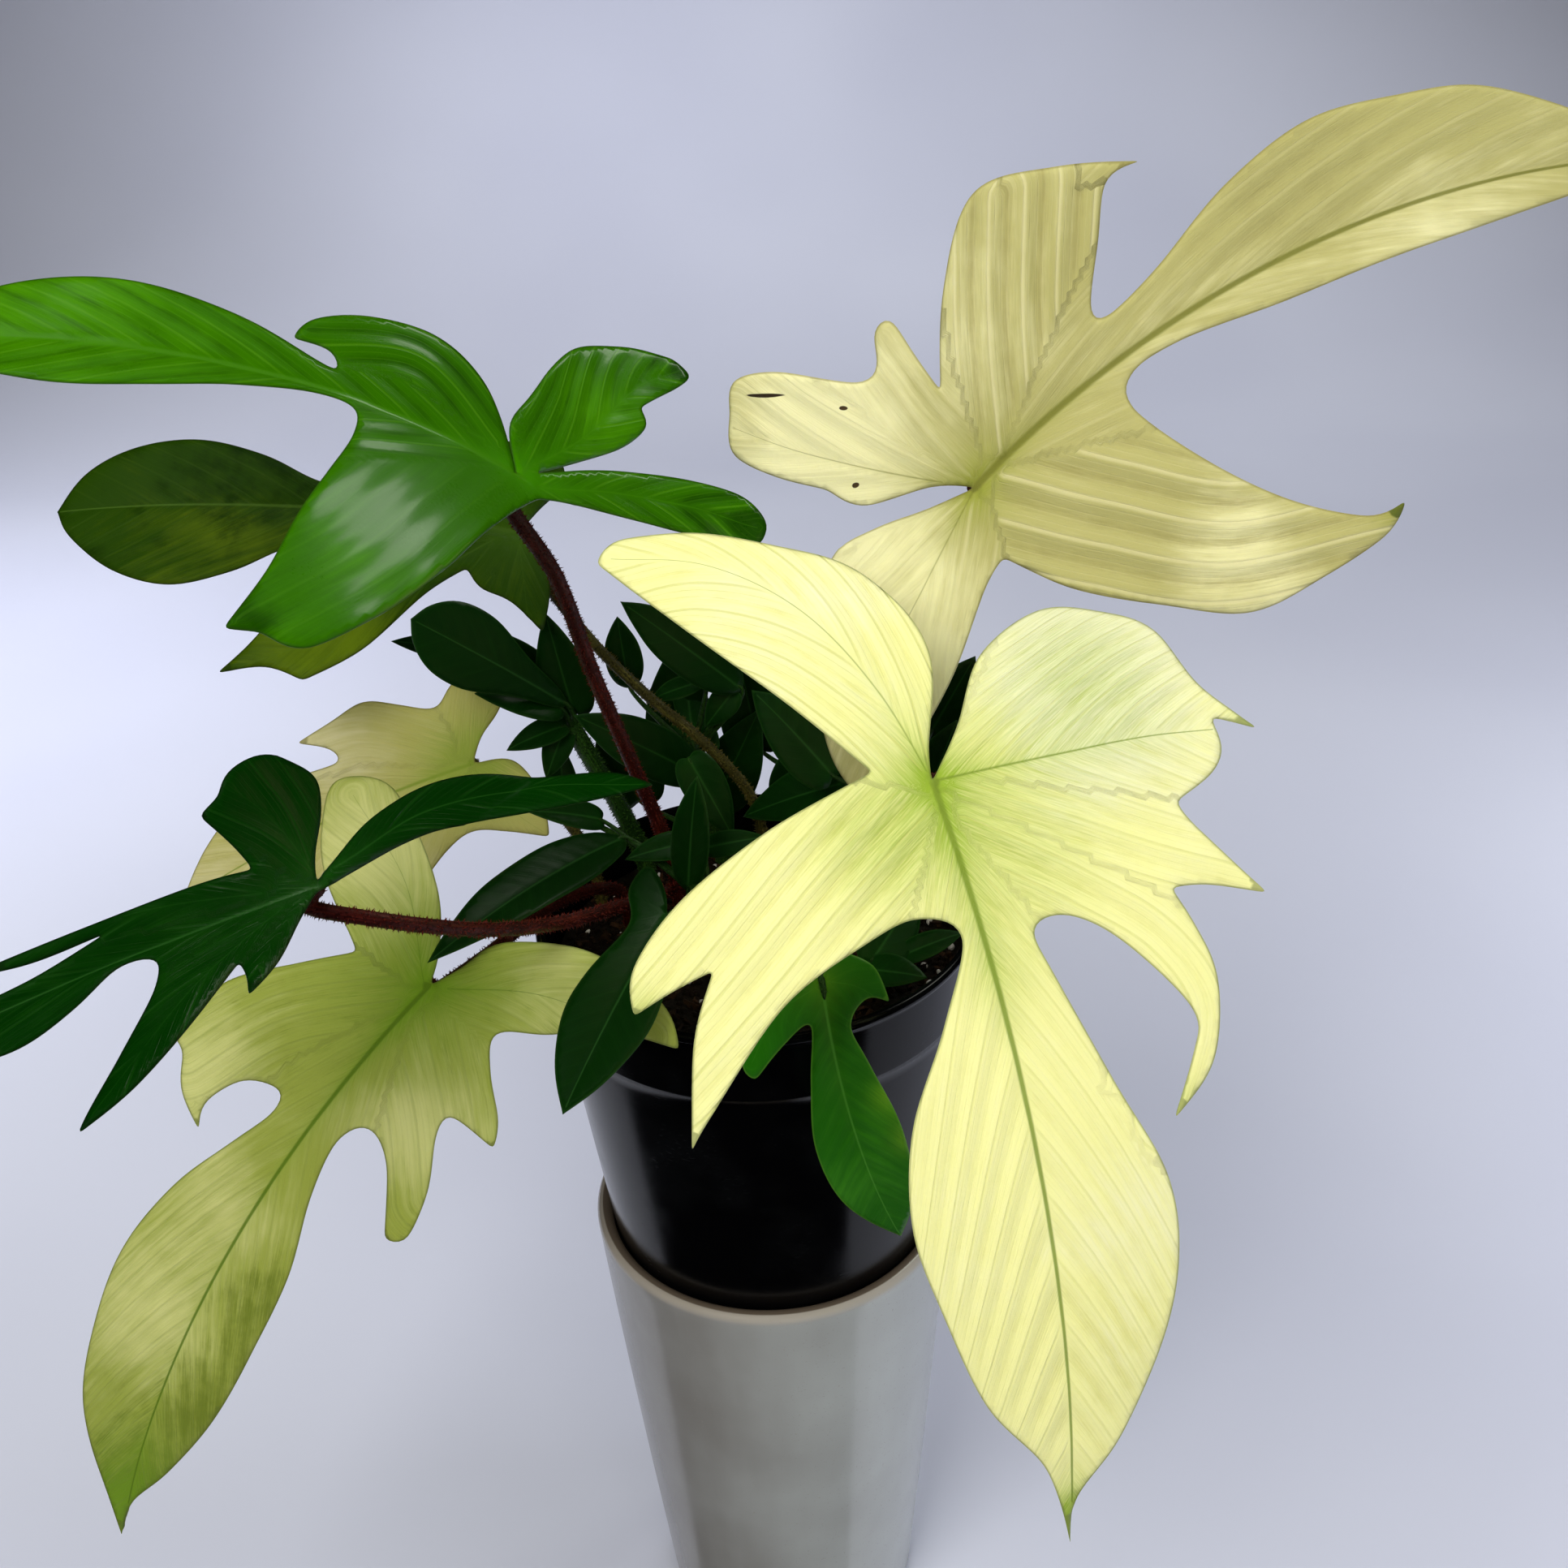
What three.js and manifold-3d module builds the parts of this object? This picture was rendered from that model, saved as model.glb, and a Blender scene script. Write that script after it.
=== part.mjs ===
// A split-leaved climbing aroid in a black nursery pot, which stands wedged in the mouth of a
// tall glazed cover pot. Millimetres, +Z up, -Y towards the viewer. The origin is the centre
// of the cover pot's flat underside.

import * as THREE from 'three';
import Module from 'manifold-3d';
import { mergeVertices } from 'three/addons/utils/BufferGeometryUtils.js';

// Driving dimensions
const gap = 0.3; // between pieces that touch
const coverHeight = 190;
const coverLipRadius = 61.6;
const coverTaper = 0.107; // share of the lip radius, for each 100 mm of depth
const coverTaperCurve = 0.010;
const coverFloor = 8;
const lipRound = 2.6;
const nurseryHeight = 148;
const nurseryProud = 118; // how far the nursery pot stands above the cover pot's lip
const nurseryRimRadius = 70;
const nurseryCollar = 23.4; // depth of the collar below the rim
const nurseryCollarRadius = 67.6;
const nurseryBodyRadius = 66.4;
const nurseryDraft = 0.112;
const nurseryWall = 1.4;
const nurseryFloor = 2.2;
const rimBead = 3.2;
const drainHoles = { count: 6, radius: 4, circle: 36 };
const soilBelowRim = 16;
const holeClearance = 0.6; // round a stem, in the soil
const stemDepth = 17; // of a stem, below the soil
const bladeThickness = 0.8;
const youngStalkRadius = 1.1;
const lathedSides = 40;
const tubeSides = 8;

const rimHeight = coverHeight + nurseryProud;
const nurseryBase = rimHeight - nurseryHeight;
const soilHeight = rimHeight - soilBelowRim;

const nurseryOuter = (z) => nurseryBodyRadius - nurseryDraft * (rimHeight - z - nurseryCollar);
const coverOuter = (z) => {
  const depth = (coverHeight - z) / 100;
  return coverLipRadius * (1 - coverTaper * depth - coverTaperCurve * depth * depth);
};
const coverWall = coverOuter(coverHeight - lipRound) - nurseryOuter(coverHeight - lipRound) - gap;

// Colours
const finish = (color, roughness) => new THREE.MeshStandardMaterial({ color, roughness, metalness: 0 });
const finishes = {
  glaze: finish(0xb9b6b4, 0.22),
  blackPlastic: finish(0x101113, 0.25),
  soil: finish(0x1d1612, 0.95),
  cream: finish(0xeef0a4, 0.45),
  khaki: finish(0xc9c777, 0.5),
  lime: finish(0xb9c45c, 0.48),
  green: finish(0x2f7d0c, 0.3),
  olive: finish(0x46600f, 0.4),
  dark: finish(0x0d3a0c, 0.3),
  maroon: finish(0x4a1a16, 0.6),
  brownGreen: finish(0x5c5a22, 0.55),
  freshGreen: finish(0x35701a, 0.35),
};

const wasm = await Module();
wasm.setup();

// Solids and booleans

// Shared vertices, no flat triangles, faces outwards.
function closedMesh(geometry) {
  const bare = geometry.clone();
  bare.deleteAttribute('normal');
  bare.deleteAttribute('uv');
  const merged = mergeVertices(bare, 1e-4);
  const p = merged.attributes.position;
  const kept = [];
  let volume = 0;
  const [a, b, c] = [new THREE.Vector3(), new THREE.Vector3(), new THREE.Vector3()];
  for (let i = 0; i < merged.index.count; i += 3) {
    const [x, y, z] = [0, 1, 2].map((k) => merged.index.getX(i + k));
    if (x === y || y === z || z === x) continue;
    kept.push([x, y, z]);
    a.fromBufferAttribute(p, x);
    b.fromBufferAttribute(p, y);
    c.fromBufferAttribute(p, z);
    volume += a.dot(b.cross(c));
  }
  const order = volume < 0 ? [0, 2, 1] : [0, 1, 2];
  merged.setIndex(kept.flatMap((t) => order.map((k) => t[k])));
  return merged;
}

function toSolid(geometry) {
  const mesh = closedMesh(geometry);
  return new wasm.Manifold(new wasm.Mesh({
    numProp: 3,
    vertProperties: new Float32Array(mesh.attributes.position.array),
    triVerts: new Uint32Array(mesh.index.array),
  }));
}

function toGeometry(solid) {
  const mesh = solid.getMesh();
  const geometry = new THREE.BufferGeometry();
  geometry.setAttribute('position', new THREE.BufferAttribute(mesh.vertProperties, 3));
  geometry.setIndex(new THREE.BufferAttribute(mesh.triVerts, 1));
  geometry.computeVertexNormals();
  return geometry;
}

const fuse = (geometries) => toGeometry(geometries.map(toSolid).reduce((all, one) => all.add(one)));
const cut = (geometry, tools) => toGeometry(tools.map(toSolid).reduce((all, one) => all.subtract(one),
  toSolid(geometry)));

// A turned piece: a profile of [radius, height] that starts and ends on the axis.
function turned(profile) {
  const points = profile.map(([radius, z]) => new THREE.Vector2(radius, z));
  return new THREE.LatheGeometry(points, lathedSides).rotateX(Math.PI / 2);
}

// A quarter or half round of a profile, from one angle to another.
function round(centre, radius, from, to, steps) {
  return Array.from({ length: steps + 1 }, (_, i) => {
    const angle = from + (to - from) * i / steps;
    return [centre[0] + radius * Math.cos(angle), centre[1] + radius * Math.sin(angle)];
  });
}

// A stem: a round section swept along a smooth path.
function tube(path, radius, steps, sides = tubeSides) {
  const curve = new THREE.CatmullRomCurve3(path.map((p) => new THREE.Vector3(...p)), false, 'centripetal');
  const section = new THREE.Shape(Array.from({ length: sides }, (_, i) => {
    const angle = 2 * Math.PI * i / sides;
    return new THREE.Vector2(radius * Math.cos(angle), radius * Math.sin(angle));
  }));
  return new THREE.ExtrudeGeometry(section, { steps, extrudePath: curve, bevelEnabled: false });
}

// Pots and soil

function coverPotGeometry() {
  const footRound = 2;
  const outside = [0.3, 0.65, 0.93].map((share) => share * coverHeight);
  const lipZ = coverHeight - lipRound;
  const lipMiddle = coverOuter(lipZ) - coverWall / 2;
  const lip = round([lipMiddle, lipZ], 1, 0, Math.PI, 6)
    .map(([r, z]) => [lipMiddle + (r - lipMiddle) * coverWall / 2, lipZ + (z - lipZ) * lipRound]);
  const inside = [...outside].reverse();
  return turned([
    [0, 0],
    [coverOuter(0) - footRound, 0],
    [coverOuter(footRound), footRound],
    ...outside.map((z) => [coverOuter(z), z]),
    ...lip,
    ...inside.map((z) => [coverOuter(z) - coverWall, z]),
    [coverOuter(coverFloor + 4) - coverWall, coverFloor + 4],
    [coverOuter(coverFloor) - coverWall - 4, coverFloor],
    [0, coverFloor],
  ]);
}

function nurseryPotGeometry() {
  const bead = rimBead / 2;
  const rim = round([nurseryRimRadius - bead, rimHeight - bead], bead, -Math.PI / 2, Math.PI, 6);
  const collarZ = rimHeight - nurseryCollar;
  const shell = turned([
    [0, nurseryBase],
    [nurseryOuter(nurseryBase) - 1.5, nurseryBase],
    [nurseryOuter(nurseryBase), nurseryBase + 1.5],
    [nurseryOuter(collarZ - 1.2), collarZ - 1.2],
    [nurseryCollarRadius, collarZ],
    [nurseryCollarRadius + 0.8, rimHeight - rimBead - 1],
    ...rim,
    [nurseryCollarRadius + 0.8 - nurseryWall, rimHeight - rimBead - 1],
    [nurseryCollarRadius - nurseryWall, collarZ + 1.2],
    [nurseryOuter(collarZ) - nurseryWall, collarZ - 0.4],
    [nurseryOuter(nurseryBase + nurseryFloor) - nurseryWall, nurseryBase + nurseryFloor],
    [0, nurseryBase + nurseryFloor],
  ]);
  const holes = Array.from({ length: drainHoles.count }, (_, i) => {
    const angle = 2 * Math.PI * i / drainHoles.count;
    const hole = new THREE.CylinderGeometry(drainHoles.radius, drainHoles.radius, 12, 12).rotateX(Math.PI / 2);
    return hole.translate(drainHoles.circle * Math.cos(angle), drainHoles.circle * Math.sin(angle), nurseryBase);
  });
  return cut(shell, holes);
}

// The soil fills the nursery pot. Its top is a low uneven mound, with a plain hole for each stem.
function soilGeometry(stems) {
  const bottom = nurseryBase + nurseryFloor + gap;
  const clear = nurseryWall + 2 * gap;
  const top = [0.96, 0.72, 0.46, 0.2].map((share) => share * (nurseryOuter(soilHeight) - clear));
  const mound = turned([
    [0, bottom],
    [nurseryOuter(bottom) - clear, bottom],
    [nurseryOuter(soilHeight - 9) - clear, soilHeight - 9],
    [nurseryOuter(soilHeight - 9) - clear, soilHeight],
    ...top.map((r) => [r, soilHeight]),
    [0, soilHeight],
  ]);
  const p = mound.attributes.position;
  for (let i = 0; i < p.count; i += 1) {
    if (p.getZ(i) < soilHeight - 1) continue;
    const [x, y] = [p.getX(i), p.getY(i)];
    const lumps = Math.sin(x * 0.31 + 1) * Math.cos(y * 0.27) + 0.6 * Math.sin(x * 0.13 - y * 0.19);
    const middle = 1 - Math.hypot(x, y) / nurseryBodyRadius;
    p.setZ(i, soilHeight + 1.1 * lumps * Math.min(1, 3 * middle) + 3 * middle);
  }
  const holes = stems.map(({ foot, radius }) => {
    const hole = new THREE.CylinderGeometry(radius + holeClearance, radius + holeClearance, 60, 12);
    return hole.rotateX(Math.PI / 2).translate(foot[0], foot[1], soilHeight - stemDepth - gap + 30);
  });
  return cut(mound, holes);
}

// Leaf blades

// A blade's flat pattern is given as [along, across] in mm, along the midrib from the point
// where the leaf stalk joins, and across it to the left. A third value of 1 marks a sharp tip
// or notch; the outline runs smoothly between those.
function smoothOutline(points, perSpan) {
  const start = Math.max(points.findIndex((p) => p[2]), 0);
  const ring = [...points.slice(start), ...points.slice(0, start), points[start]];
  const outline = [];
  let run = [ring[0]];
  for (const point of ring.slice(1)) {
    run.push(point);
    if (!point[2]) continue;
    const curve = new THREE.SplineCurve(run.map(([u, v]) => new THREE.Vector2(u, v)));
    outline.push(...curve.getPoints((run.length - 1) * perSpan).slice(0, -1));
    run = [point];
  }
  return THREE.ShapeUtils.isClockWise(outline) ? outline.reverse() : outline;
}

const mirrored = (half) => [...half, ...half.slice(1, -1).reverse().map(([u, v, sharp]) => [u, -v, sharp])];

function distanceToOutline(point, outline) {
  const closest = new THREE.Vector3();
  const line = new THREE.Line3();
  return Math.min(...outline.map((a, i) => {
    const b = outline[(i + 1) % outline.length];
    line.set(new THREE.Vector3(a.x, a.y, 0), new THREE.Vector3(b.x, b.y, 0));
    line.closestPointToPoint(new THREE.Vector3(point.x, point.y, 0), true, closest);
    return Math.hypot(closest.x - point.x, closest.y - point.y);
  }));
}

const turn = (a, b, c) => (b.x - a.x) * (c.y - a.y) - (b.y - a.y) * (c.x - a.x);

function insideCircle(a, b, c, d) {
  const rows = [a, b, c].map((p) => [p.x - d.x, p.y - d.y, (p.x - d.x) ** 2 + (p.y - d.y) ** 2]);
  const matrix = new THREE.Matrix3().set(...rows[0], ...rows[1], ...rows[2]);
  return matrix.determinant() > 1e-9;
}

// Turns the shared edge of two triangles round wherever that makes them less thin.
function evenOut(points, triangles) {
  for (let pass = 0, changed = true; changed && pass < 60; pass += 1) {
    changed = false;
    const edges = new Map();
    triangles.forEach((t, index) => t.forEach((a, k) => edges.set(`${a},${t[(k + 1) % 3]}`, index)));
    const touched = new Set();
    for (const [key, index] of edges) {
      const [a, b] = key.split(',').map(Number);
      const other = edges.get(`${b},${a}`);
      if (other === undefined || touched.has(index) || touched.has(other)) continue;
      const c = triangles[index].find((v) => v !== a && v !== b);
      const d = triangles[other].find((v) => v !== a && v !== b);
      const [pa, pb, pc, pd] = [a, b, c, d].map((v) => points[v]);
      if (turn(pc, pa, pd) <= 1e-9 || turn(pd, pb, pc) <= 1e-9) continue;
      if (!insideCircle(pa, pb, pc, pd)) continue;
      triangles[index] = [c, a, d];
      triangles[other] = [d, b, c];
      touched.add(index);
      touched.add(other);
      changed = true;
    }
  }
}

// Triangles over the pattern, with inner points on a staggered grid.
function triangulate(outline, spacing) {
  const points = [...outline];
  const triangles = THREE.ShapeUtils.triangulateShape(outline, [])
    .map(([a, b, c]) => (turn(points[a], points[b], points[c]) < 0 ? [a, c, b] : [a, b, c]));
  const box = new THREE.Box2().setFromPoints(outline);
  const rowStep = spacing * Math.sqrt(3) / 2;
  for (let row = 0, y = box.min.y; y < box.max.y; y += rowStep, row += 1) {
    for (let x = box.min.x + (row % 2) * spacing / 2; x < box.max.x; x += spacing) {
      const point = new THREE.Vector2(x, y);
      const at = triangles.findIndex((t) => t.every((a, k) => turn(points[a], points[t[(k + 1) % 3]], point) > 1e-6));
      if (at < 0 || distanceToOutline(point, outline) < spacing * 0.42) continue;
      const [a, b, c] = triangles[at];
      const n = points.push(point) - 1;
      triangles.splice(at, 1, [a, b, n], [b, c, n], [c, a, n]);
    }
  }
  evenOut(points, triangles);
  return { points, triangles };
}

// The curved sheet that a pattern is laid on. `reach` runs from the stalk's joint to the tip and
// `face` is the way that the upper side looks. Bends are in radians for each 100 mm: `bend` curls
// the tip down and `back` the lobes behind the joint. On each side of the midrib the blade rises
// by `fold` radians and then curls by `curl`. The midrib sweeps sideways by `sweep` mm.
function bladeSheet(leaf) {
  const length = leaf.length;
  const chord = new THREE.Vector3(...leaf.reach).normalize();
  const face = new THREE.Vector3(...leaf.face);
  const normal = face.addScaledVector(chord, -face.dot(chord)).normalize();
  const half = leaf.bend * new THREE.Vector3(...leaf.reach).length() / 200;
  const ahead = chord.clone().multiplyScalar(Math.cos(half)).addScaledVector(normal, Math.sin(half));
  const above = normal.multiplyScalar(Math.cos(half)).addScaledVector(chord, -Math.sin(half));
  const side = new THREE.Vector3().crossVectors(above, ahead);
  const joint = new THREE.Vector3(...leaf.joint);
  const place = (u, v) => {
    const rate = (u > 0 ? leaf.bend : leaf.back) / 100;
    const angle = Math.abs(rate) < 1e-6 ? 1e-6 * u : rate * u;
    const along = u === 0 ? 0 : Math.sin(angle) * u / angle;
    const drop = u === 0 ? 0 : (1 - Math.cos(angle)) * u / angle;
    const [fold, curl] = v > 0 ? leaf.left : leaf.right;
    const turnRate = curl / 100;
    const width = Math.abs(v);
    const out = (Math.sin(fold + turnRate * width) - Math.sin(fold)) / turnRate;
    const rise = (Math.cos(fold) - Math.cos(fold + turnRate * width)) / turnRate;
    const share = THREE.MathUtils.clamp(u / length, 0, 1);
    const sweep = 4 * leaf.sweep * share * (1 - share);
    return joint.clone()
      .addScaledVector(ahead, along + rise * Math.sin(angle))
      .addScaledVector(above, rise * Math.cos(angle) - drop)
      .addScaledVector(side, out * Math.sign(v) + sweep);
  };
  return (u, v, lift) => {
    const step = 0.05;
    const slopeU = place(u + step, v).sub(place(u - step, v));
    const slopeV = place(u, v + step).sub(place(u, v - step));
    return place(u, v).addScaledVector(slopeU.cross(slopeV).normalize(), lift);
  };
}

// A thin closed blade: the same triangles on both faces, and a strip round the edge.
function bladeGeometry(leaf) {
  const outline = smoothOutline(leaf.pattern, leaf.perSpan);
  const { points, triangles } = triangulate(outline, leaf.spacing);
  const sheet = bladeSheet(leaf);
  const upper = points.map((p) => sheet(p.x, p.y, bladeThickness / 2));
  const lower = points.map((p) => sheet(p.x, p.y, -bladeThickness / 2));
  const under = points.length;
  const index = triangles.flatMap(([a, b, c]) => [a, b, c, under + a, under + c, under + b]);
  outline.forEach((_, i) => {
    const j = (i + 1) % outline.length;
    index.push(under + i, under + j, j, under + i, j, i);
  });
  const geometry = new THREE.BufferGeometry();
  geometry.setAttribute('position', new THREE.Float32BufferAttribute(
    [...upper, ...lower].flatMap((p) => p.toArray()), 3));
  geometry.setIndex(index);
  geometry.computeVertexNormals();
  return geometry;
}

// Each large leaf: its blade's finish and place, its pattern, and its stalk's route from the
// soil, which ends just under the joint.
const upright = { left: [0.12, -0.35], right: [0.12, -0.5], back: 0.3 };
const largeLeaves = {
  front_cream: {
    finish: 'cream', stalkFinish: 'maroon', stalkRadius: 2.3,
    joint: [46, -90, 400], reach: [29, -75, -183], face: [0.05, -0.8, 0.6],
    ...upright, bend: 0.35, sweep: 6, length: 206,
    pattern: [
      [0, 0, 1], [-8, 1], [-33, 7], [-56, -3], [-69, -23], [-79, -45], [-83, -64], [-78, -70, 1],
      [-50, -50], [-24, -29], [-5, -14, 1],
      [4, -42], [16, -68], [30, -84], [41, -87, 1], [37, -76], [34, -65, 1],
      [50, -74], [76, -81, 1], [69, -75], [46, -51], [35, -27], [32, -14],
      [38, -5], [58, -15], [80, -28], [104, -33], [128, -29], [155, -21], [178, -7],
      [206, 0, 1], [191, 1], [174, 12], [150, 23], [126, 30], [104, 30], [80, 22], [52, 14], [40, 12],
      [38, 20], [46, 31], [66, 44], [76, 42], [91, 34, 1], [80, 46], [60, 52], [46, 50],
      [37, 47, 1], [38, 56], [43, 70, 1], [23, 57], [17, 55, 1], [12, 66], [6, 71], [-2, 71, 1],
      [3, 82, 1], [-10, 71], [-27, 63], [-34, 51], [-37, 36], [-29, 19], [-12, 9],
    ],
    stalk: [[6, 10, 0], [8, 7, 322], [15, -6, 341], [27, -34, 356], [39, -64, 380]],
  },
  right_cream: {
    finish: 'khaki', stalkFinish: 'maroon', stalkRadius: 2.3,
    joint: [64, -20, 449], reach: [176, 15, 73], face: [0.1, -0.93, 0.35],
    left: [0.2, -0.25], right: [0.2, -0.35], back: 0.3, bend: 0.3, sweep: 20, length: 195,
    pattern: [
      [0, 0, 1], [-10, 5], [-30, 8], [-37, 16, 1], [-48, 25], [-57, 36], [-52, 46, 1], [-47, 53],
      [-34, 50], [-15, 38], [-9, 40], [-6, 48], [-1, 49], [1, 38], [3, 26, 1],
      [14, 44], [30, 57], [50, 49], [69, 38, 1], [60, 39], [53, 28], [45, 15], [48, 11],
      [64, 14], [86, 23], [108, 28], [130, 26], [150, 23], [172, 13],
      [195, 0, 1], [177, -5], [156, -9], [126, -11], [90, -10], [61, -5], [48, -5], [45, -12],
      [57, -35], [72, -55], [88, -68], [97, -68, 1], [90, -74], [72, -76], [52, -74], [32, -58],
      [14, -40], [0, -20, 1], [-7, -25], [-25, -44], [-49, -63], [-65, -75, 1], [-70, -58],
      [-66, -37], [-57, -15], [-44, -1], [-30, 1], [-15, 0],
    ],
    stalk: [[15, 36, 0], [18, 36, 345], [28, 30, 395], [40, 18, 428], [54, 0, 443]],
  },
  left_green: {
    finish: 'green', stalkFinish: 'maroon', stalkRadius: 2.5,
    joint: [-58, 0, 450], reach: [-144, -40, 55], face: [0.1, -0.45, 0.88],
    left: [0.15, -0.3], right: [0.3, -0.2], back: -0.9, bend: 0.5, sweep: -2, length: 165,
    pattern: [
      [2, 0, 1], [7, -13], [2, -26], [-4, -40], [-14, -52], [-32, -59], [-48, -59, 1], [-54, -54],
      [-50, -49], [-42, -43], [-36, -38, 1], [-39, -33], [-32, -24], [-18, -14], [-4, -4, 1],
      [-20, -12], [-37, -17], [-53, -18], [-70, -14], [-77, -5], [-74, 2, 1], [-60, 0],
      [-40, -1], [-18, 0], [-5, 5, 1], [2, 13], [15, 31], [27, 50], [44, 72], [60, 86], [70, 84, 1],
      [78, 85, 1], [70, 67], [64, 48], [57, 30], [51, 14], [51, 4], [62, 3],
      [80, 7], [100, 13], [125, 15], [148, 9], [165, -2, 1], [150, -10], [130, -17], [105, -19],
      [82, -15], [62, -8], [56, -7], [58, -12], [68, -12, 1], [64, -19], [50, -26], [32, -29],
      [18, -23], [10, -14],
    ],
    stalk: [[-26, 24, 0], [-30, 22, 322], [-37, 20, 348], [-46, 14, 384], [-53, 8, 418]],
  },
  back_olive: {
    finish: 'olive', stalkFinish: 'brownGreen', stalkRadius: 1.9,
    joint: [-70, 60, 412], reach: [-138, -10, 16], face: [0, -0.75, 0.66],
    left: [0.1, -0.2], right: [0.1, -0.2], back: -0.5, bend: 0.3, sweep: -3, length: 141,
    pattern: [
      [0, 0, 1], [-6, -8], [-14, -18], [-10, -28], [2, -30], [12, -24], [24, -13], [40, -8],
      [60, -8], [78, -16], [98, -21], [118, -19], [133, -12], [141, -1, 1], [136, 8], [122, 20],
      [104, 26], [86, 22], [70, 14], [64, 19], [76, 41], [88, 54, 1], [74, 52], [63, 56, 1],
      [46, 45], [28, 25], [16, 15, 1], [12, 21], [2, 24], [-8, 33, 1], [-10, 18], [-6, 6],
    ],
    stalk: [[2, 32, 0], [0, 32, 326], [-16, 34, 349], [-31, 40, 361], [-48, 48, 377], [-64, 57, 397]],
  },
  left_dark: {
    finish: 'dark', stalkFinish: 'maroon', stalkRadius: 2.1,
    joint: [-104, -100, 384], reach: [-75, -68, 4], face: [0, -0.35, 0.9],
    left: [0.1, -0.2], right: [0.7, -0.2], back: -1.0, bend: 0.4, sweep: 3, length: 104,
    pattern: [
      [0, -1, 1], [-2, -8], [-8, -18], [-10, -26], [-5, -31], [4, -35], [13, -33], [17, -28, 1],
      [23, -25, 1], [18, -16], [15, -9, 1], [28, -10], [56, -10], [82, -10, 1], [68, -7], [52, -7, 1],
      [69, -4], [88, -3], [103, 0, 1], [94, 8], [80, 12], [65, 8], [52, 2], [45, 4], [49, 12], [62, 24],
      [74, 35], [79, 40, 1], [66, 36], [48, 26], [30, 14, 1], [31, 19], [34, 25, 1], [23, 19],
      [11, 9], [2, 2, 1], [-10, -1], [-26, -3], [-40, -1], [-57, 8], [-85, 29, 1], [-80, 16],
      [-68, 3], [-54, -9], [-38, -14], [-20, -12], [-6, -5],
    ],
    stalk: [[-20, 8, 0], [-22, 4, 311], [-38, -25, 326], [-54, -56, 341], [-70, -80, 356], [-94, -98, 373]],
  },
  low_lime: {
    finish: 'lime', stalkFinish: 'maroon', stalkRadius: 2.1,
    joint: [-91, -62, 326], reach: [-100, -60, -145], face: [-0.1, -0.8, 0.6],
    left: [0.12, -0.3], right: [0.12, -0.3], back: 0.3, bend: 0.3, sweep: -9, length: 190,
    pattern: [
      [0, 0, 1], [-9, -3], [-22, -12], [-34, -28], [-41, -44], [-34, -57], [-22, -53], [-10, -43],
      [3, -22, 1], [14, -32], [30, -45], [50, -46, 1], [51, -42], [60, -36], [67, -25, 1],
      [60, -28], [49, -23], [46, -13], [52, -11], [66, -16], [84, -23], [106, -27], [130, -26],
      [156, -21], [176, -9], [190, 0, 1], [178, 1], [160, 10], [136, 18], [110, 20], [88, 19],
      [66, 12], [48, 9], [41, 14], [46, 24], [63, 36, 1], [60, 41], [46, 38], [32, 30], [26, 30],
      [27, 45, 1], [20, 41], [10, 30], [1, 24], [-6, 36], [-16, 50], [-22, 69, 1], [-29, 61],
      [-32, 46], [-30, 28], [-20, 10], [-9, 5],
    ],
    stalk: [[-42, 12, 0], [-45, 8, 310], [-62, -18, 322], [-78, -42, 322]],
  },
  rear_khaki: {
    finish: 'khaki', stalkFinish: 'brownGreen', stalkRadius: 1.9,
    joint: [-89, 30, 346], reach: [-97, -15, -38], face: [0, -0.8, 0.6],
    left: [0.1, -0.3], right: [0.1, -0.3], back: 0.2, bend: 0.2, sweep: -3, length: 105,
    pattern: [
      [0, 0, 1], [-6, -7], [-14, -12], [-20, -20], [-12, -28], [-3, -26], [4, -21], [14, -26],
      [24, -31], [36, -29], [49, -27, 1], [40, -21], [39, -16], [52, -17], [72, -18], [90, -11],
      [105, 0, 1], [88, 9], [63, 15], [48, 22], [39, 33], [30, 31], [18, 24], [9, 21], [0, 24],
      [-13, 32, 1], [-16, 18], [-12, 4],
    ],
    stalk: [[-52, 24, 0], [-56, 24, 318], [-72, 32, 336]],
  },
};

// Patterns of young leaves, for a blade 100 mm long: half the outline, from joint to tip
const youngPatterns = {
  oval: mirrored([[0, 0, 1], [-7, 9], [0, 21], [22, 28], [52, 25], [80, 13], [100, 0, 1]]),
  paddle: mirrored([[0, 0, 1], [10, 6], [36, 13], [62, 24], [82, 23], [94, 13], [100, 0, 1]]),
  strap: mirrored([[0, 0, 1], [10, 8], [34, 13], [64, 12], [86, 6], [100, 0, 1]]),
  lobed: mirrored([
    [0, 0, 1], [-16, 10], [-26, 26], [-8, 33], [14, 24], [28, 38], [42, 46, 1],
    [40, 22], [62, 20], [84, 13], [100, 0, 1],
  ]),
  eared: mirrored([[0, 0, 1], [-14, 7], [-25, 20], [-6, 21], [12, 12], [42, 17], [62, 18], [84, 11], [100, 0, 1]]),
};

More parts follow.
